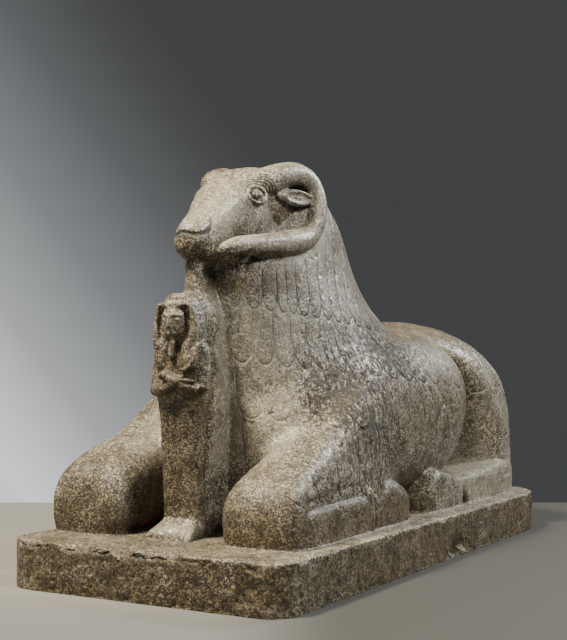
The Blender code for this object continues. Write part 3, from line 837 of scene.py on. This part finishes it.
def headCarving(own):
    sided = toOneSide(own)
    cut = np.zeros(len(own))
    size, width, depth = headShape["lidLine"]
    cut += groove(sided, eyeOval(size, 24), width, depth)
    size, width, depth = headShape["pupil"]
    pupil = circleAround(headShape["eye"], headShape["eyeFacing"], size, count=12)
    cut += groove(sided, pupil, width, depth)
    cut += groove(sided, headShape["crease"], 0.5, 0.75)
    cut += groove(sided, headShape["mouth"], 0.3, 0.22)
    cut += earHollow(sided)
    for shift in headShape["backLineShifts"]:
        cut += groove(sided - (0, shift, 0), headShape["backLine"], 0.4, 0.5)
    # the broken edge under the left horn's end
    broken = ease(-own[:, 1], -46, -42) * (np.abs(sided[:, 0] - 12) < 4)
    jagged = ease(lumps(own, 2.6, 21), -0.2, 0.1)
    cut += 1.1 * broken * jagged * ease(87.6 - own[:, 2], 0.0, 1.4) * (own[:, 2] > 83.4)
    return cut


# From 0 to 1 and back over each step
def wave(place, step):
    return 0.5 + 0.5 * np.cos(2 * math.pi * place / step)


def kingCarving(own):
    x, y, z = own.T
    side = np.abs(x)
    cut = groove(own, king["betweenLegs"], 1.1, 0.35) * (y < 28)
    cut += groove(toOneSide(own), king["besideFace"], 0.7, 1.0)
    onHeaddress = (side > 4.0) * (side < 8) * (z > 50) * (z < 71) * (y < 31)
    cut += 0.12 * wave(z, king["stripe"]) * onHeaddress
    onWrapping = (z > 8) * (z < 40) * (y < 30) * (side < 6)
    cut += 0.07 * wave(x, king["fold"]) * onWrapping
    onHands = (side < 4.6) * (z > 44.6) * (z < 50) * (y < 23.6)
    cut += 0.16 * wave(z + 0.4 * x, king["finger"]) * onHands
    broken = ease(lumps(own, 1.8, 22), -0.2, 0.4) * ease(22.6 - y, 0.0, 1.2)
    cut += 0.4 * broken * (z > 0.4) * (z < 5) * (side < 9)
    return cut


def legCarving(own):
    sided = toOneSide(own)
    cut = np.zeros(len(own))
    for path, width, depth in legs["lines"]:
        cut += groove(sided, path, width, depth)
    return cut


# Places pushed about a little, so that a straight path becomes a crooked crack
def crooked(own):
    return own + 0.7 * np.stack([lumps(own, 2.0, seed) for seed in (31, 32, 33)], axis=1)


def weatherCarving(own):
    cut = np.zeros(len(own))
    for path, width, depth in weather["cracks"]:
        cut += groove(crooked(own), path, width, depth)
    scar = weather["scar"]
    cut += groove(own, scar["path"], scar["width"], scar["depth"])
    return cut + weather["pitDepth"] * pitShare(own)


weather = {
    # the worst pitting on the left side: where along y and up, and how far it reaches
    "pitted": [(104, 54, 22, 12), (70, 44, 22, 24)],
    "pitDepth": 0.28,
    "chipDepth": 1.5,
    "chipped": (-6, 34, 8),  # the plinth's front: middle, reach to each side, how deep along y
    "notch": (120, -13, 7, 4.5, 3.0),  # in the left side: y, z, reach along each, depth
    "scar": {
        "path": [(41.5, 112, 49.5), (42.6, 128, 45), (42.8, 132, 38), (42.4, 125, 31)],
        "width": 1.3,
        "depth": 1.1,
    },
    "cracks": [
        ([(9, 45, 34.5), (14, 46.5, 34.0), (20, 49, 37.0)], 0.28, 0.5),
        ([(22, 50.5, 36.5), (25, 53, 34.8)], 0.26, 0.45),
        ([(13, 44.5, 42.5), (15, 45, 41.5)], 0.24, 0.35),
    ],
}


# How badly pitted the surface is: the left shoulder and flank are worst
def wornShare(own):
    y, z = own[:, 1], own[:, 2]
    near = np.zeros(len(own))
    for middleY, middleZ, reachY, reachZ in weather["pitted"]:
        spot = np.exp(-(((y - middleY) / reachY) ** 2) - ((z - middleZ) / reachZ) ** 2)
        near = np.maximum(near, spot)
    return near * ease(own[:, 0], 20, 30)


# 1 in the pits, which are drawn out up and down
def pitShare(own):
    near = wornShare(own)
    holes = lumps(own, (1.3, 1.3, 3.0), 3) + 0.7 * lumps(own, (0.6, 0.6, 1.3), 4)
    holes += 0.35 * lumps(own, 7.0, 5)
    return ease(holes, 1.05 - 0.95 * near, 1.22 - 0.85 * near) * (own[:, 2] > 0.3)


# Chips along the plinth's edges, deepest where the photo shows stone lost
def chips(own):
    x, y, z = own.T
    low, high = (np.array(boxLow) - origin) / unit, (np.array(boxHigh) - origin) / unit
    toSide = np.minimum(np.minimum(x - low[0], high[0] - x), np.minimum(y - low[1], high[1] - y))
    ragged = lumps(own, 5.0, 41) + 0.6 * lumps(own, 2.0, 42)
    topEdge = (1 - ease(np.hypot(toSide, z), 0.0, 2.6)) * (z < 0.6)
    cut = 0.9 * topEdge * ease(ragged, 0.1, 0.9)
    middle, reach, deep = weather["chipped"]
    front = np.exp(-(((x - middle) / reach) ** 2)) * (y < deep)
    cut += weather["chipDepth"] * topEdge * front * ease(ragged, -0.6, 0.4)
    bottomEdge = 1 - ease(np.hypot(toSide, z - low[2]), 0.0, 3.0)
    worn = lumps(own, 9.0, 45) + 0.5 * lumps(own, 1.3, 46)
    cut += 0.55 * bottomEdge * ease(worn, 0.25, 1.0) * (z > low[2] + 0.2)
    notchY, notchZ, reachY, reachZ, depth = weather["notch"]
    notch = np.exp(-(((y - notchY) / reachY) ** 2) - ((z - notchZ) / reachZ) ** 2) * (x > 40)
    cut += depth * notch * ease(ragged, -0.6, 0.2)
    rough = lumps(own, (2.2, 2.2, 3.4), 43) + lumps(own, 0.9, 44)
    return cut + 0.22 * rough * (z < -0.6) * (toSide < 1.5)


def carve(mesh):
    points = pointsOf(mesh)
    own = (points - origin) / unit
    normals = pointsOf(mesh, "normal")
    fleece = fleeceShare(own)
    cut = np.exp(-((lockDistance(own) / locks["line"]) ** 2)) * fleece * locks["depth"]
    inHead = (own[:, 1] < 92) & (own[:, 2] > 78)
    cut[inHead] += headCarving(own[inHead])
    inKing = (own[:, 1] < 36) & (np.abs(own[:, 0]) < 11)
    cut[inKing] += kingCarving(own[inKing])
    isLow = own[:, 2] < 30
    cut[isLow] += legCarving(own[isLow])
    isPlinth = own[:, 2] < 1.0
    cut[isPlinth] += chips(own[isPlinth])
    cut += weatherCarving(own) + 0.10 * lumps(own, 6.0, 6) + 0.05 * lumps(own, 1.6, 7)
    inside = ease(np.array(own[:, 2] * unit + origin[2]), -0.001, 0.001)
    movePoints(mesh, points - normals * (cut * inside)[:, None] * unit)


# Keeps the biggest of the separate shells that the voxels may leave
def biggestShell(mesh):
    tree = bpy.data.node_groups.new("shells", "GeometryNodeTree")
    tree.interface.new_socket("Mesh", in_out="INPUT", socket_type="NodeSocketGeometry")
    tree.interface.new_socket("Mesh", in_out="OUTPUT", socket_type="NodeSocketGeometry")
    add, link = tree.nodes.new, tree.links.new
    start, end = add("NodeGroupInput"), add("NodeGroupOutput")
    island, store = add("GeometryNodeInputMeshIsland"), add("GeometryNodeStoreNamedAttribute")
    store.data_type, store.domain = "INT", "POINT"
    store.inputs["Name"].default_value = "shell"
    link(start.outputs["Mesh"], store.inputs["Geometry"])
    link(island.outputs["Island Index"], store.inputs["Value"])
    link(store.outputs["Geometry"], end.inputs["Mesh"])
    marked = withModifier(mesh, "NODES", node_group=tree)
    shell = np.zeros(len(marked.vertices), np.int32)
    marked.attributes["shell"].data.foreach_get("value", shell)
    biggest = np.bincount(shell).argmax()
    print("shells", shell.max() + 1, "kept", (shell == biggest).sum(), "of", len(shell))
    bm = bmesh.new()
    bm.from_mesh(marked)
    lost = [vertex for vertex, index in zip(bm.verts, shell) if index != biggest]
    bmesh.ops.delete(bm, geom=lost, context="VERTS")
    bm.to_mesh(marked)
    bm.free()
    marked.attributes.remove(marked.attributes["shell"])
    return marked


# Cuts off what lies below the underside and closes it with one flat face
def cutFlat(mesh):
    bm = bmesh.new()
    bm.from_mesh(mesh)
    geometry = bm.verts[:] + bm.edges[:] + bm.faces[:]
    cut = bmesh.ops.bisect_plane(
        bm, geom=geometry, dist=1e-5, plane_co=(0, 0, 0), plane_no=(0, 0, -1), clear_outer=True
    )
    rim = [piece for piece in cut["geom_cut"] if isinstance(piece, bmesh.types.BMEdge)]
    bmesh.ops.holes_fill(bm, edges=rim, sides=0)
    bmesh.ops.triangulate(bm, faces=bm.faces)
    return fromBmesh(bm)


def ramStatue():
    masses = trunkForms() + forelegForms()
    masses += [alongY(headShape["skull"], 2.9), alongY(headShape["jaw"], 2.2)]
    soft = withModifier(
        joinMeshes([inPlace(mesh) for mesh in masses]),
        "REMESH",
        mode="VOXEL",
        voxel_size=stone["massGrain"],
    )
    soft = withModifier(soft, "SMOOTH", factor=0.5, iterations=stone["massSoftening"])
    print("masses blended")
    details = [inPlace(mesh) for mesh in foldedForms() + headForms() + kingForms()]
    skin = withModifier(
        joinMeshes([soft, plinthForm()] + details),
        "REMESH",
        mode="VOXEL",
        voxel_size=stone["carvingGrain"],
    )
    skin = withModifier(skin, "SMOOTH", factor=0.5, iterations=4)
    skin = biggestShell(skin)
    print("stone made,", len(skin.vertices), "points")
    carve(skin)
    print("carved")
    skin.calc_loop_triangles()
    share = stone["triangles"] / len(skin.loop_triangles)
    skin = withModifier(skin, "DECIMATE", ratio=share, use_collapse_triangulate=True)
    skin = cutFlat(skin)
    print("thinned to", len(skin.polygons), "triangles")
    return skin


# Shader maths as Python expressions: a wrapped socket adds its Math nodes itself
class Socket:
    def __init__(self, sheet, socket):
        self.sheet, self.socket = sheet, socket

    def math(self, operation, *others, clamp=False):
        return self.sheet.node(
            "ShaderNodeMath", {"operation": operation, "use_clamp": clamp}, [self, *others]
        )

    def __add__(self, other):
        return self.math("ADD", other)

    __radd__ = __add__

    def __mul__(self, other):
        return self.math("MULTIPLY", other)

    __rmul__ = __mul__

    def __sub__(self, other):
        return self.math("SUBTRACT", other)

    def __rsub__(self, other):
        return self.sheet.node("ShaderNodeMath", {"operation": "SUBTRACT"}, [other, self])

    def __truediv__(self, other):
        return self.math("DIVIDE", other)

    def __pow__(self, other):
        return self.math("POWER", other)


class Sheet:
    def __init__(self, name):
        self.material = bpy.data.materials.new(name)
        self.material.use_nodes = True
        self.tree = self.material.node_tree
        self.shader = self.tree.nodes["Principled BSDF"]

    # Adds any node: its settings first, then the values or links of its sockets
    def node(self, kind, settings=None, inputs=(), output=0):
        made = self.tree.nodes.new(kind)
        for name, value in (settings or {}).items():
            if name == "stops":
                ramp = made.color_ramp
                while len(ramp.elements) < len(value):
                    ramp.elements.new(1.0)
                for element, (place, color) in zip(ramp.elements, value):
                    element.position, element.color = place, (*color, 1.0)
            else:
                setattr(made, name, value)
        pairs = inputs.items() if isinstance(inputs, dict) else enumerate(inputs)
        for key, value in pairs:
            if value is not None:
                self.plug(made.inputs[key], value)
        return Socket(self, made.outputs[output])

    def plug(self, target, value):
        if isinstance(value, Socket):
            self.tree.links.new(value.socket, target)
        elif hasattr(value, "__len__") and len(value) == 3 and target.type == "RGBA":
            target.default_value = (*value, 1.0)
        else:
            target.default_value = value

    def attribute(self, name):
        place = self.node("ShaderNodeAttribute", {"attribute_name": name}, output="Vector")
        return self.parts(place)

    def parts(self, vector):
        apart = self.node("ShaderNodeSeparateXYZ", None, [vector])
        return [Socket(self, socket) for socket in apart.socket.node.outputs]

    def ease(self, value, low, high, start=0.0, end=1.0):
        settings = {"interpolation_type": "SMOOTHSTEP"}
        return self.node("ShaderNodeMapRange", settings, [value, low, high, start, end])

    def mix(self, factor, first, second, blend="MIX"):
        made = self.tree.nodes.new("ShaderNodeMix")
        made.data_type, made.blend_type = "RGBA", blend
        for name, value in (("Factor_Float", factor), ("A_Color", first), ("B_Color", second)):
            target = next(socket for socket in made.inputs if socket.identifier == name)
            self.plug(target, value)
        output = next(socket for socket in made.outputs if socket.identifier == "Result_Color")
        return Socket(self, output)

    def noise(self, place, scale, detail=4.0, roughness=0.55):
        inputs = {"Vector": place, "Scale": scale, "Detail": detail, "Roughness": roughness}
        return self.node("ShaderNodeTexNoise", None, inputs)

    def cells(self, place, scale, output="Color"):
        return self.node("ShaderNodeTexVoronoi", None, {"Vector": place, "Scale": scale}, output)


granite = {
    "dark": (0.014, 0.011, 0.007),
    "brown": (0.138, 0.097, 0.048),
    "grey": (0.128, 0.112, 0.080),
    "pale": (0.47, 0.43, 0.325),
    "stain": (0.048, 0.036, 0.020),
    "pit": (0.030, 0.025, 0.017),
    "grimeAndShade": (0.030, 0.020, 0.009),
    "lineShade": (0.045, 0.04, 0.033),
    "paleLine": (0.42, 0.36, 0.26),
    "toneAndPaintedLight": (0.44, 0.37, 0.255),  # what darkening leaves of the colour: darker stone and painted shade
    # how many to a metre
    "grain": 265,
    "crystals": 170,
    "clumps": 105,
    "pits": 85,
    "mottle": 30,
    "clouds": 6,
    "roughness": (0.24, 0.56),
    "coat": 0.4,
    "coatRoughness": 0.26,
}


# The line that draws each lock, worked out again for every point of the picture
def lockLine(sheet):
    around, row, shifted = sheet.attribute("lockPlace")
    fleece = sheet.attribute("lockSize")[0]
    level = row.math("FLOOR").math("MAXIMUM", locks["topRow"])
    down = row - level
    first, wider, least, most = locks["width"]

    def width(step):
        wide = level * wider + (first + wider * step)
        return wide.math("MAXIMUM", least).math("MINIMUM", most)

    def across(step):
        moved = around / width(step) + shifted * (level + step).math("FLOORED_MODULO", 2.0)
        return moved - moved.math("FLOOR") - 0.5

    here, below, above = across(0.0), across(1.0), across(-1.0)
    rest = 1 - locks["tip"]
    size = (width(0.0) * 0.5).math("MINIMUM", locks["row"] * rest)
    low = (down - locks["tip"]).math("MAXIMUM", 0.0) / rest
    tip = ((here * 2.0) ** 2.0 + low * low).math("SQRT")
    high = (down + rest) / rest
    upperTip = ((above * above) * 4.0 + high * high).math("SQRT")
    sideHere = (0.5 - here.math("ABSOLUTE")) * width(0.0)
    sideBelow = (0.5 - below.math("ABSOLUTE")) * width(1.0)
    toTip = (1.0 - tip).math("ABSOLUTE") * size
    toUpper = (upperTip - 1.0).math("ABSOLUTE") * size
    toUpper = toUpper + level.math("LESS_THAN", locks["topRow"] + 0.5) * most
    isUpper = down.math("LESS_THAN", locks["tip"])
    isInside = isUpper.math("MAXIMUM", tip.math("LESS_THAN", 1.0))
    own = isUpper * sideHere.math("MINIMUM", toUpper) + (1.0 - isUpper) * toTip
    distance = isInside * own + (1.0 - isInside) * sideBelow.math("MINIMUM", toTip)
    return sheet.ease(distance, 0.06, 0.22, 1.0, 0.0) * fleece


# Four arcs over each eye, from how far a point is from the eye and how far round
def eyeArcs(sheet):
    reach, share, _ = sheet.attribute("eyeWay")
    turn = reach / 0.83
    across = (turn - turn.math("FLOOR") - 0.5).math("ABSOLUTE")
    return sheet.ease(across, 0.10, 0.26, 1.0, 0.0) * share


def graniteMaterial():
    sheet = Sheet("granite")
    place = sheet.node("ShaderNodeTexCoord", None, output="Object")
    tintAndFacingShade, worn, polish = sheet.attribute("weather")
    _, hollow, toneAndPaintedLight = sheet.attribute("lockSize")
    grain = sheet.parts(sheet.cells(place, granite["grain"]))[0]
    crystals = sheet.parts(sheet.cells(place, granite["crystals"]))[1]
    cloud = sheet.noise(place, granite["clouds"], 5.0)
    speck = grain * 0.7 + crystals * 0.3
    # browner facing the front, greyer at the sides: partly the stone's tone, partly painted light
    # by facing
    base = sheet.mix(tintAndFacingShade, granite["grey"], granite["brown"])
    base = sheet.mix(sheet.ease(speck, 0.54, 0.72), base, granite["pale"])
    base = sheet.mix(sheet.ease(speck, 0.46, 0.32), base, granite["dark"])
    clump = sheet.noise(place, granite["clumps"], 4.0, 0.65)
    base = sheet.mix(sheet.ease(clump, 0.49, 0.38) * 0.5, base, granite["dark"])
    base = sheet.mix(sheet.ease(cloud, 0.35, 0.65) * 0.18, base, granite["pale"])
    mottle = sheet.noise(place, granite["mottle"], 6.0, 0.72)
    base = sheet.mix(sheet.ease(mottle, 0.53, 0.40) * 0.62, base, granite["stain"])
    line = lockLine(sheet)
    # the lock lines' colour follows the facing: dark painted shade in the grooves at the sides,
    # pale lines on the front
    lineColor = sheet.mix(tintAndFacingShade, granite["lineShade"], granite["paleLine"])
    base = sheet.mix(line * 0.8, base, lineColor)
    drawnOut = sheet.node("ShaderNodeVectorMath", {"operation": "MULTIPLY"}, [place, (1, 1, 0.4)])
    holes = sheet.noise(drawnOut, granite["pits"], 4.0, 0.7)
    pit = sheet.ease(holes + worn * 0.19, 0.61, 0.66)
    base = sheet.mix(pit * 0.85, base, granite["pit"])
    arc = eyeArcs(sheet)
    base = sheet.mix(arc * 0.85, base, granite["dark"])
    # paler below zero, mostly painted light; darker above zero, partly painted shade and partly
    # darker stone
    base = sheet.mix(sheet.ease(toneAndPaintedLight, 0.0, -1.0) * 0.30, base, granite["pale"])
    base = sheet.mix(toneAndPaintedLight.math("MAXIMUM", 0.0), base, granite["toneAndPaintedLight"], "MULTIPLY")
    # grime and painted shade in the hollows
    base = sheet.mix(sheet.ease(hollow, 0.28, 0.9) * 0.7, base, granite["grimeAndShade"])
    sheet.plug(sheet.shader.inputs["Base Color"], base)
    low, high = granite["roughness"]
    shine = polish * (1.0 - pit) * sheet.ease(speck, 0.34, 0.52, 0.1, 1.0)
    rough = high - shine * (high - low) + pit * 0.2
    sheet.plug(sheet.shader.inputs["Roughness"], rough)
    sheet.plug(sheet.shader.inputs["Coat Weight"], shine * granite["coat"])
    sheet.plug(sheet.shader.inputs["Coat Roughness"], granite["coatRoughness"])
    height = speck * 0.5 + sheet.noise(place, 150.0, 3.0) * 0.8 + clump * 0.7
    height = height - line * 1.4 - arc * 1.2 - pit * 1.2
    bump = {"Strength": 0.8, "Distance": 0.0026, "Height": height}
    sheet.plug(sheet.shader.inputs["Normal"], sheet.node("ShaderNodeBump", None, bump))
    return sheet.material


shelter = {"share": 0.22, "ways": 36, "reach": 0.45, "lift": 0.004}  # the last two in metres


# How much each point is shut in by the stone around it, where dirt stays and light is low,
# darkened in the material with grime and painted shade: worked out for a share of the points,
# along ways spread evenly over a ball
def hollows(mesh):
    coarse = withModifier(mesh, "DECIMATE", ratio=shelter["share"])
    bm = bmesh.new()
    bm.from_mesh(coarse)
    tree = BVHTree.FromBMesh(bm)
    count, reach = shelter["ways"], shelter["reach"]
    turn = np.arange(count) * math.pi * (3 - math.sqrt(5))
    height = 1 - 2 * (np.arange(count) + 0.5) / count
    ring = np.sqrt(1 - height * height)
    ways = [Vector(way) for way in np.stack([ring * np.cos(turn), ring * np.sin(turn), height], 1)]
    shut = []
    for vertex in bm.verts:
        start = vertex.co + vertex.normal * shelter["lift"]
        total = weight = 0.0
        for way in ways:
            facing = way.dot(vertex.normal)
            if facing > 0.05:
                weight += facing
                gap = tree.ray_cast(start, way, reach)[3]
                if gap is not None:
                    total += facing * (1 - gap / reach)
        shut.append(total / weight)
    corners = kdtree.KDTree(len(bm.verts))
    for index, vertex in enumerate(bm.verts):
        corners.insert(vertex.co, index)
    corners.balance()
    bm.free()
    found = [np.mean([shut[i] for _, i, _ in corners.find_n(v.co, 4)]) for v in mesh.vertices]
    return np.array(found)


# How each part of the stone is coloured: 1 dark, 0 plain, -1 pale; many zones are painted shade
# and painted light, the rest darker and paler stone. Where two parts meet, the later one counts
def zoneShare(own):
    x, y, z = own.T
    side = np.abs(x)
    _, eyeY, eyeZ = headShape["eye"]
    _, earY, earZ = headShape["ear"]
    insideHorn = np.hypot(y - 66, z - 101) < 12.5
    zones = {
        "plinth": (0.95, z < -0.6),
        "king's body": (0.8, (side < 11) & (y < 33) & (z > 5) & (z < 60)),
        "king's head": (0.45, (side < 11) & (y < 34.5) & (z >= 60) & (z < 75)),
        # painted light on the tops of the king's feet
        "king's feet": (-0.8, (side < 11) & (y < 33) & (z > 0.4) & (z <= 5)),
        "knees": (0.45, (side > 17) & (y < 32) & (z < 24) & (z > 0.4)),
        "folded forelegs": (0.55, (side > 30) & (y > 32) & (y < 104) & (z < 12) & (z > 0.4)),
        "behind the forelegs": (0.3, (side > 25) & (y > 80) & (y < 120) & (z >= 12) & (z < 26)),
        # painted shadow of the head under the chin
        "under the chin": (0.95, (y > 36) & (y < 66) & (z > 70) & (z < 87)),
        "lower jaw": (0.45, (y < 46) & (z > 80) & (z < 91)),
        "head": (-0.75, ~insideHorn & (y > 34) & (y < 90) & (side > 4) & (z > 84)),
        # painted light on the top of the head
        "top of the head": (-0.5, (y < 60) & (z > 98)),
        # painted shade on the lower cheek
        "cheek": (0.4, (y > 44) & (y < 62) & (z > 91) & (z < 96.5) & (side > 5)),
        # painted shade in the hollow round the ear
        "round the ear": (0.7, insideHorn & (y > 60) & (side < 15)),
        "ear": (-0.8, (np.hypot((y - earY) / 2.4, z - earZ) < 4) & (side > 13.2)),
        "eye": (0.85, (np.hypot(y - eyeY, z - eyeZ) < 2.2) & (side > 9)),
        "end of the nose": (-0.6, (y < 36) & (z > 92) & (z < 97)),
        # painted shade on the far horn
        "right horn": (0.75, (x < -8) & (y > 50) & (y < 68) & (z > 103)),
        # painted shade on the pillar's side beside the king
        "pillar": (0.5, (side < 11) & (y >= 33) & (y < 46) & (z > 25) & (z < 74)),
        # painted light on the front of the chest
        "chest": (-0.75, (side < 30) & (y < 62) & (y > 36) & (z > 20) & (z <= 72)),
        "shoulders": (0.4, (side > 22) & (y > 56) & (y < 100) & (z > 26) & (z <= 60)),
        "flanks": (0.6, (side > 22) & (y >= 100) & (y < 160) & (z > 26) & (z <= 60)),
        # painted shade on the top of the back
        "back": (0.95, (y > 100) & (z > 58)),
        "front of the plinth's top": (0.5, (np.abs(z) <= 0.6) & (y < 50)),
        # painted highlight on the tops of the hind feet
        "hind feet": (-0.6, (side > 20) & (y > 144) & (z > 0.4) & (z <= 15)),
        # painted light on the haunches
        "haunches": (-0.4, (side > 30) & (y > 170) & (z > 15) & (z < 48)),
    }
    share = np.zeros(len(own))
    for amount, inside in zones.values():
        share = np.where(inside, amount, share)
    return share


# The same with soft borders, and uneven
def toneAndPaintedLightShare(own, normals):
    x, y, z = own.T
    reach = ease(z, 0.5, 5)[:, None]
    chance = np.random.default_rng(15)
    share = np.zeros(len(own))
    for step in chance.normal(0, 1.5, (14, 3)):
        share += zoneShare(own + reach * (step + chance.normal(0, 0.7, own.shape))) / 14
    share += 0.35 * lumps(own, 7.0, 13) + 0.2 * lumps(own, 2.4, 14)
    share += 0.5 * (1 - ease(z, 0, 16)) * (z > 0.4) * (y < 120) * (np.abs(x) > 17)
    # painted shade on faces turned downwards
    return share + 0.25 * ease(-normals[:, 2], 0.1, 0.8) * (z > 0)


# What the stone's surface remembers, kept on its points for the material
def storeSurface(mesh):
    own = (pointsOf(mesh) - origin) / unit
    normals = pointsOf(mesh, "normal")
    sided = toOneSide(own)
    around, row, shifted = lockPlace(own)
    fleece = fleeceShare(own)
    toFront = ease(-normals[:, 1] - 0.75 * normals[:, 0], -0.25, 0.45)
    # partly the stone's tone, partly painted light by facing, plus random lumps
    tintAndFacingShade = np.clip(toFront + 0.25 * lumps(own, 14.0, 11), 0, 1)
    worn = wornShare(own) + groove(own, weather["scar"]["path"], 1.2, 3.0)
    worn += groove(sided, headShape["crease"], 0.6, 3.0)
    for shift in headShape["backLineShifts"]:
        worn += groove(sided - (0, shift, 0), headShape["backLine"], 0.3, 2.5)
    for path, width, _ in weather["cracks"]:
        worn += groove(crooked(own), path, width, 2.5)
    toneAndPaintedLight = toneAndPaintedLightShare(own, normals)
    polish = np.clip(1 - toFront + 0.3 * lumps(own, 9.0, 12), 0, 1) * (own[:, 2] > 0.5)
    polish = np.maximum(polish, -toneAndPaintedLight) * (1 - np.clip(toneAndPaintedLight, 0, 1))
    facing = np.array(headShape["eyeFacing"]) / np.linalg.norm(headShape["eyeFacing"])
    away = sided - np.array(headShape["eye"])
    flat = away - (away @ facing)[:, None] * facing
    reach = np.hypot(np.hypot(flat[:, 0], flat[:, 1]) / headShape["eyeLength"], flat[:, 2])
    above = flat[:, 2] / np.maximum(reach, 0.01)
    arcs = ease(above, 0.0, 0.25) * ease(reach, 3.3, 3.5) * (1 - ease(reach, 6.4, 6.7))
    values = {
        "eyeWay": (reach, arcs * (np.abs(away @ facing) < 4), np.zeros(len(own))),
        "lockPlace": (around, row, shifted),
        "lockSize": (fleece, hollows(mesh), toneAndPaintedLight),
        "weather": (tintAndFacingShade, worn, polish),
    }
    for name, parts in values.items():
        layer = mesh.attributes.new(name, "FLOAT_VECTOR", "POINT")
        layer.data.foreach_set("vector", np.stack(parts, axis=1).astype(np.float32).ravel())


statueMesh = ramStatue()
storeSurface(statueMesh)
statueMesh.materials.clear()
statueMesh.materials.append(graniteMaterial())
statueMesh.shade_smooth()
statue = bpy.data.objects.new("ram_statue_carved", statueMesh)
bpy.context.scene.collection.objects.link(statue)
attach(statue, "root")
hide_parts("ram_statue")
print("statue in place")

studio = {
    "azimuth": 30.2,
    "pitch": 1.48,
    "eye": (2.105, -3.851, 0.698),
    "lens": 69.53,  # on a 36 mm frame
    "floorBack": 5.75,  # how far from the camera the floor ends
    "floor": (0.215, 0.209, 0.187),
    "floorNear": (0.130, 0.128, 0.118),
    "nearEnds": (-1.3, -0.5),  # how far ahead of the origin the near colour fades out
    "shadowStarts": (-0.36, 0.06),  # how far to the right the painted shadow beside the plinth comes in
    "floorFar": (0.036, 0.035, 0.030),
    "backdrop": [0.062, 0.077, 0.126, 0.238, 0.468, 1.0, 0.45],
    "backdropAt": [0.0, 0.066, 0.165, 0.292, 0.424, 0.551, 0.70],
    "backdropCast": (0.95, 0.99, 1.03),
    "backdropLean": 0.756,
    "backdropReach": (-0.10, 0.60),
    "aim": (0, -0.1, 0.6),
}


def makeCamera():
    data = bpy.data.cameras.new("camera")
    data.sensor_width, data.lens = 36.0, studio["lens"]
    camera = bpy.data.objects.new("camera", data)
    camera.location = studio["eye"]
    camera.rotation_euler = [math.radians(a) for a in (90 + studio["pitch"], 0, studio["azimuth"])]
    bpy.context.scene.collection.objects.link(camera)
    bpy.context.scene.camera = camera


def makeFloor():
    turn = math.radians(studio["azimuth"])
    forward = np.array((-math.sin(turn), math.cos(turn)))
    right = np.array((math.cos(turn), math.sin(turn)))
    start = np.array(studio["eye"][:2])
    corners = []
    for ahead, aside in ((-6, -9), (-6, 9), (studio["floorBack"], 9), (studio["floorBack"], -9)):
        corners.append((*(start + ahead * forward + aside * right), 0.0))
    bm = bmesh.new()
    bm.faces.new([bm.verts.new(corner) for corner in corners])
    mesh = bpy.data.meshes.new("floor")
    bm.to_mesh(mesh)
    bm.free()
    sheet = Sheet("pale floor")
    place = sheet.node("ShaderNodeTexCoord", None, output="Object")
    x, y, _ = sheet.parts(place)
    across = x * float(right[0]) + y * float(right[1])
    ahead = x * float(forward[0]) + y * float(forward[1])
    color = sheet.mix(sheet.ease(ahead, *studio["nearEnds"]), studio["floorNear"], studio["floor"])
    # painted shadow on the floor to the right of the plinth
    color = sheet.mix(sheet.ease(across, *studio["shadowStarts"]), color, studio["floorFar"])
    sheet.plug(sheet.shader.inputs["Base Color"], color)
    sheet.shader.inputs["Roughness"].default_value = 0.75
    mesh.materials.append(sheet.material)
    floor = bpy.data.objects.new("floor", mesh)
    bpy.context.scene.collection.objects.link(floor)


def addLight(name, place, target, size, power, color):
    data = bpy.data.lights.new(name, "AREA")
    data.shape, data.size, data.energy, data.color = "DISK", size, power, color
    light = bpy.data.objects.new(name, data)
    light.location = place
    away = light.location - Vector(target)
    light.rotation_euler = away.to_track_quat("Z", "Y").to_euler()
    bpy.context.scene.collection.objects.link(light)


# Name, the way it comes from and its height in degrees, distance, size, power, colour
lights = [
    ("high front left", -20, 58, 5.2, 0.9, 760, (1.0, 0.90, 0.72)),
    ("rim from the right", 146, 36, 4.6, 1.2, 230, (0.97, 0.985, 1.0)),
    ("soft side", 76, 44, 5.4, 1.3, 270, (1.0, 0.985, 0.95)),
]


def makeLight():
    for name, way, height, distance, size, power, color in lights:
        turn, rise = math.radians(way), math.radians(height)
        flat = distance * math.cos(rise)
        up = studio["aim"][2] + distance * math.sin(rise)
        place = (flat * math.sin(turn), -flat * math.cos(turn), up)
        addLight(name, place, studio["aim"], size, power, color)
    world = bpy.data.worlds.new("studio")
    world.use_nodes = True
    tree = world.node_tree
    background = tree.nodes["Background"]
    place, ramp = tree.nodes.new("ShaderNodeTexCoord"), tree.nodes.new("ShaderNodeValToRGB")
    turned, scaled = tree.nodes.new("ShaderNodeVectorMath"), tree.nodes.new("ShaderNodeMapRange")
    turn = math.radians(studio["azimuth"])
    right = Vector((math.cos(turn), math.sin(turn), 0))
    turned.operation = "DOT_PRODUCT"
    turned.inputs[1].default_value = -right - Vector((0, 0, studio["backdropLean"]))
    for name, value in zip(("From Min", "From Max"), studio["backdropReach"]):
        scaled.inputs[name].default_value = value
    stops = ramp.color_ramp.elements
    while len(stops) < len(studio["backdrop"]):
        stops.new(1.0)
    for stop, at, level in zip(stops, studio["backdropAt"], studio["backdrop"]):
        stop.position = at
        stop.color = (*[level * share for share in studio["backdropCast"]], 1.0)
    tree.links.new(place.outputs["Generated"], turned.inputs[0])
    tree.links.new(turned.outputs["Value"], scaled.inputs["Value"])
    tree.links.new(scaled.outputs["Result"], ramp.inputs["Fac"])
    tree.links.new(ramp.outputs["Color"], background.inputs["Color"])
    bpy.context.scene.world = world


makeCamera()
makeFloor()
makeLight()
print("studio ready")
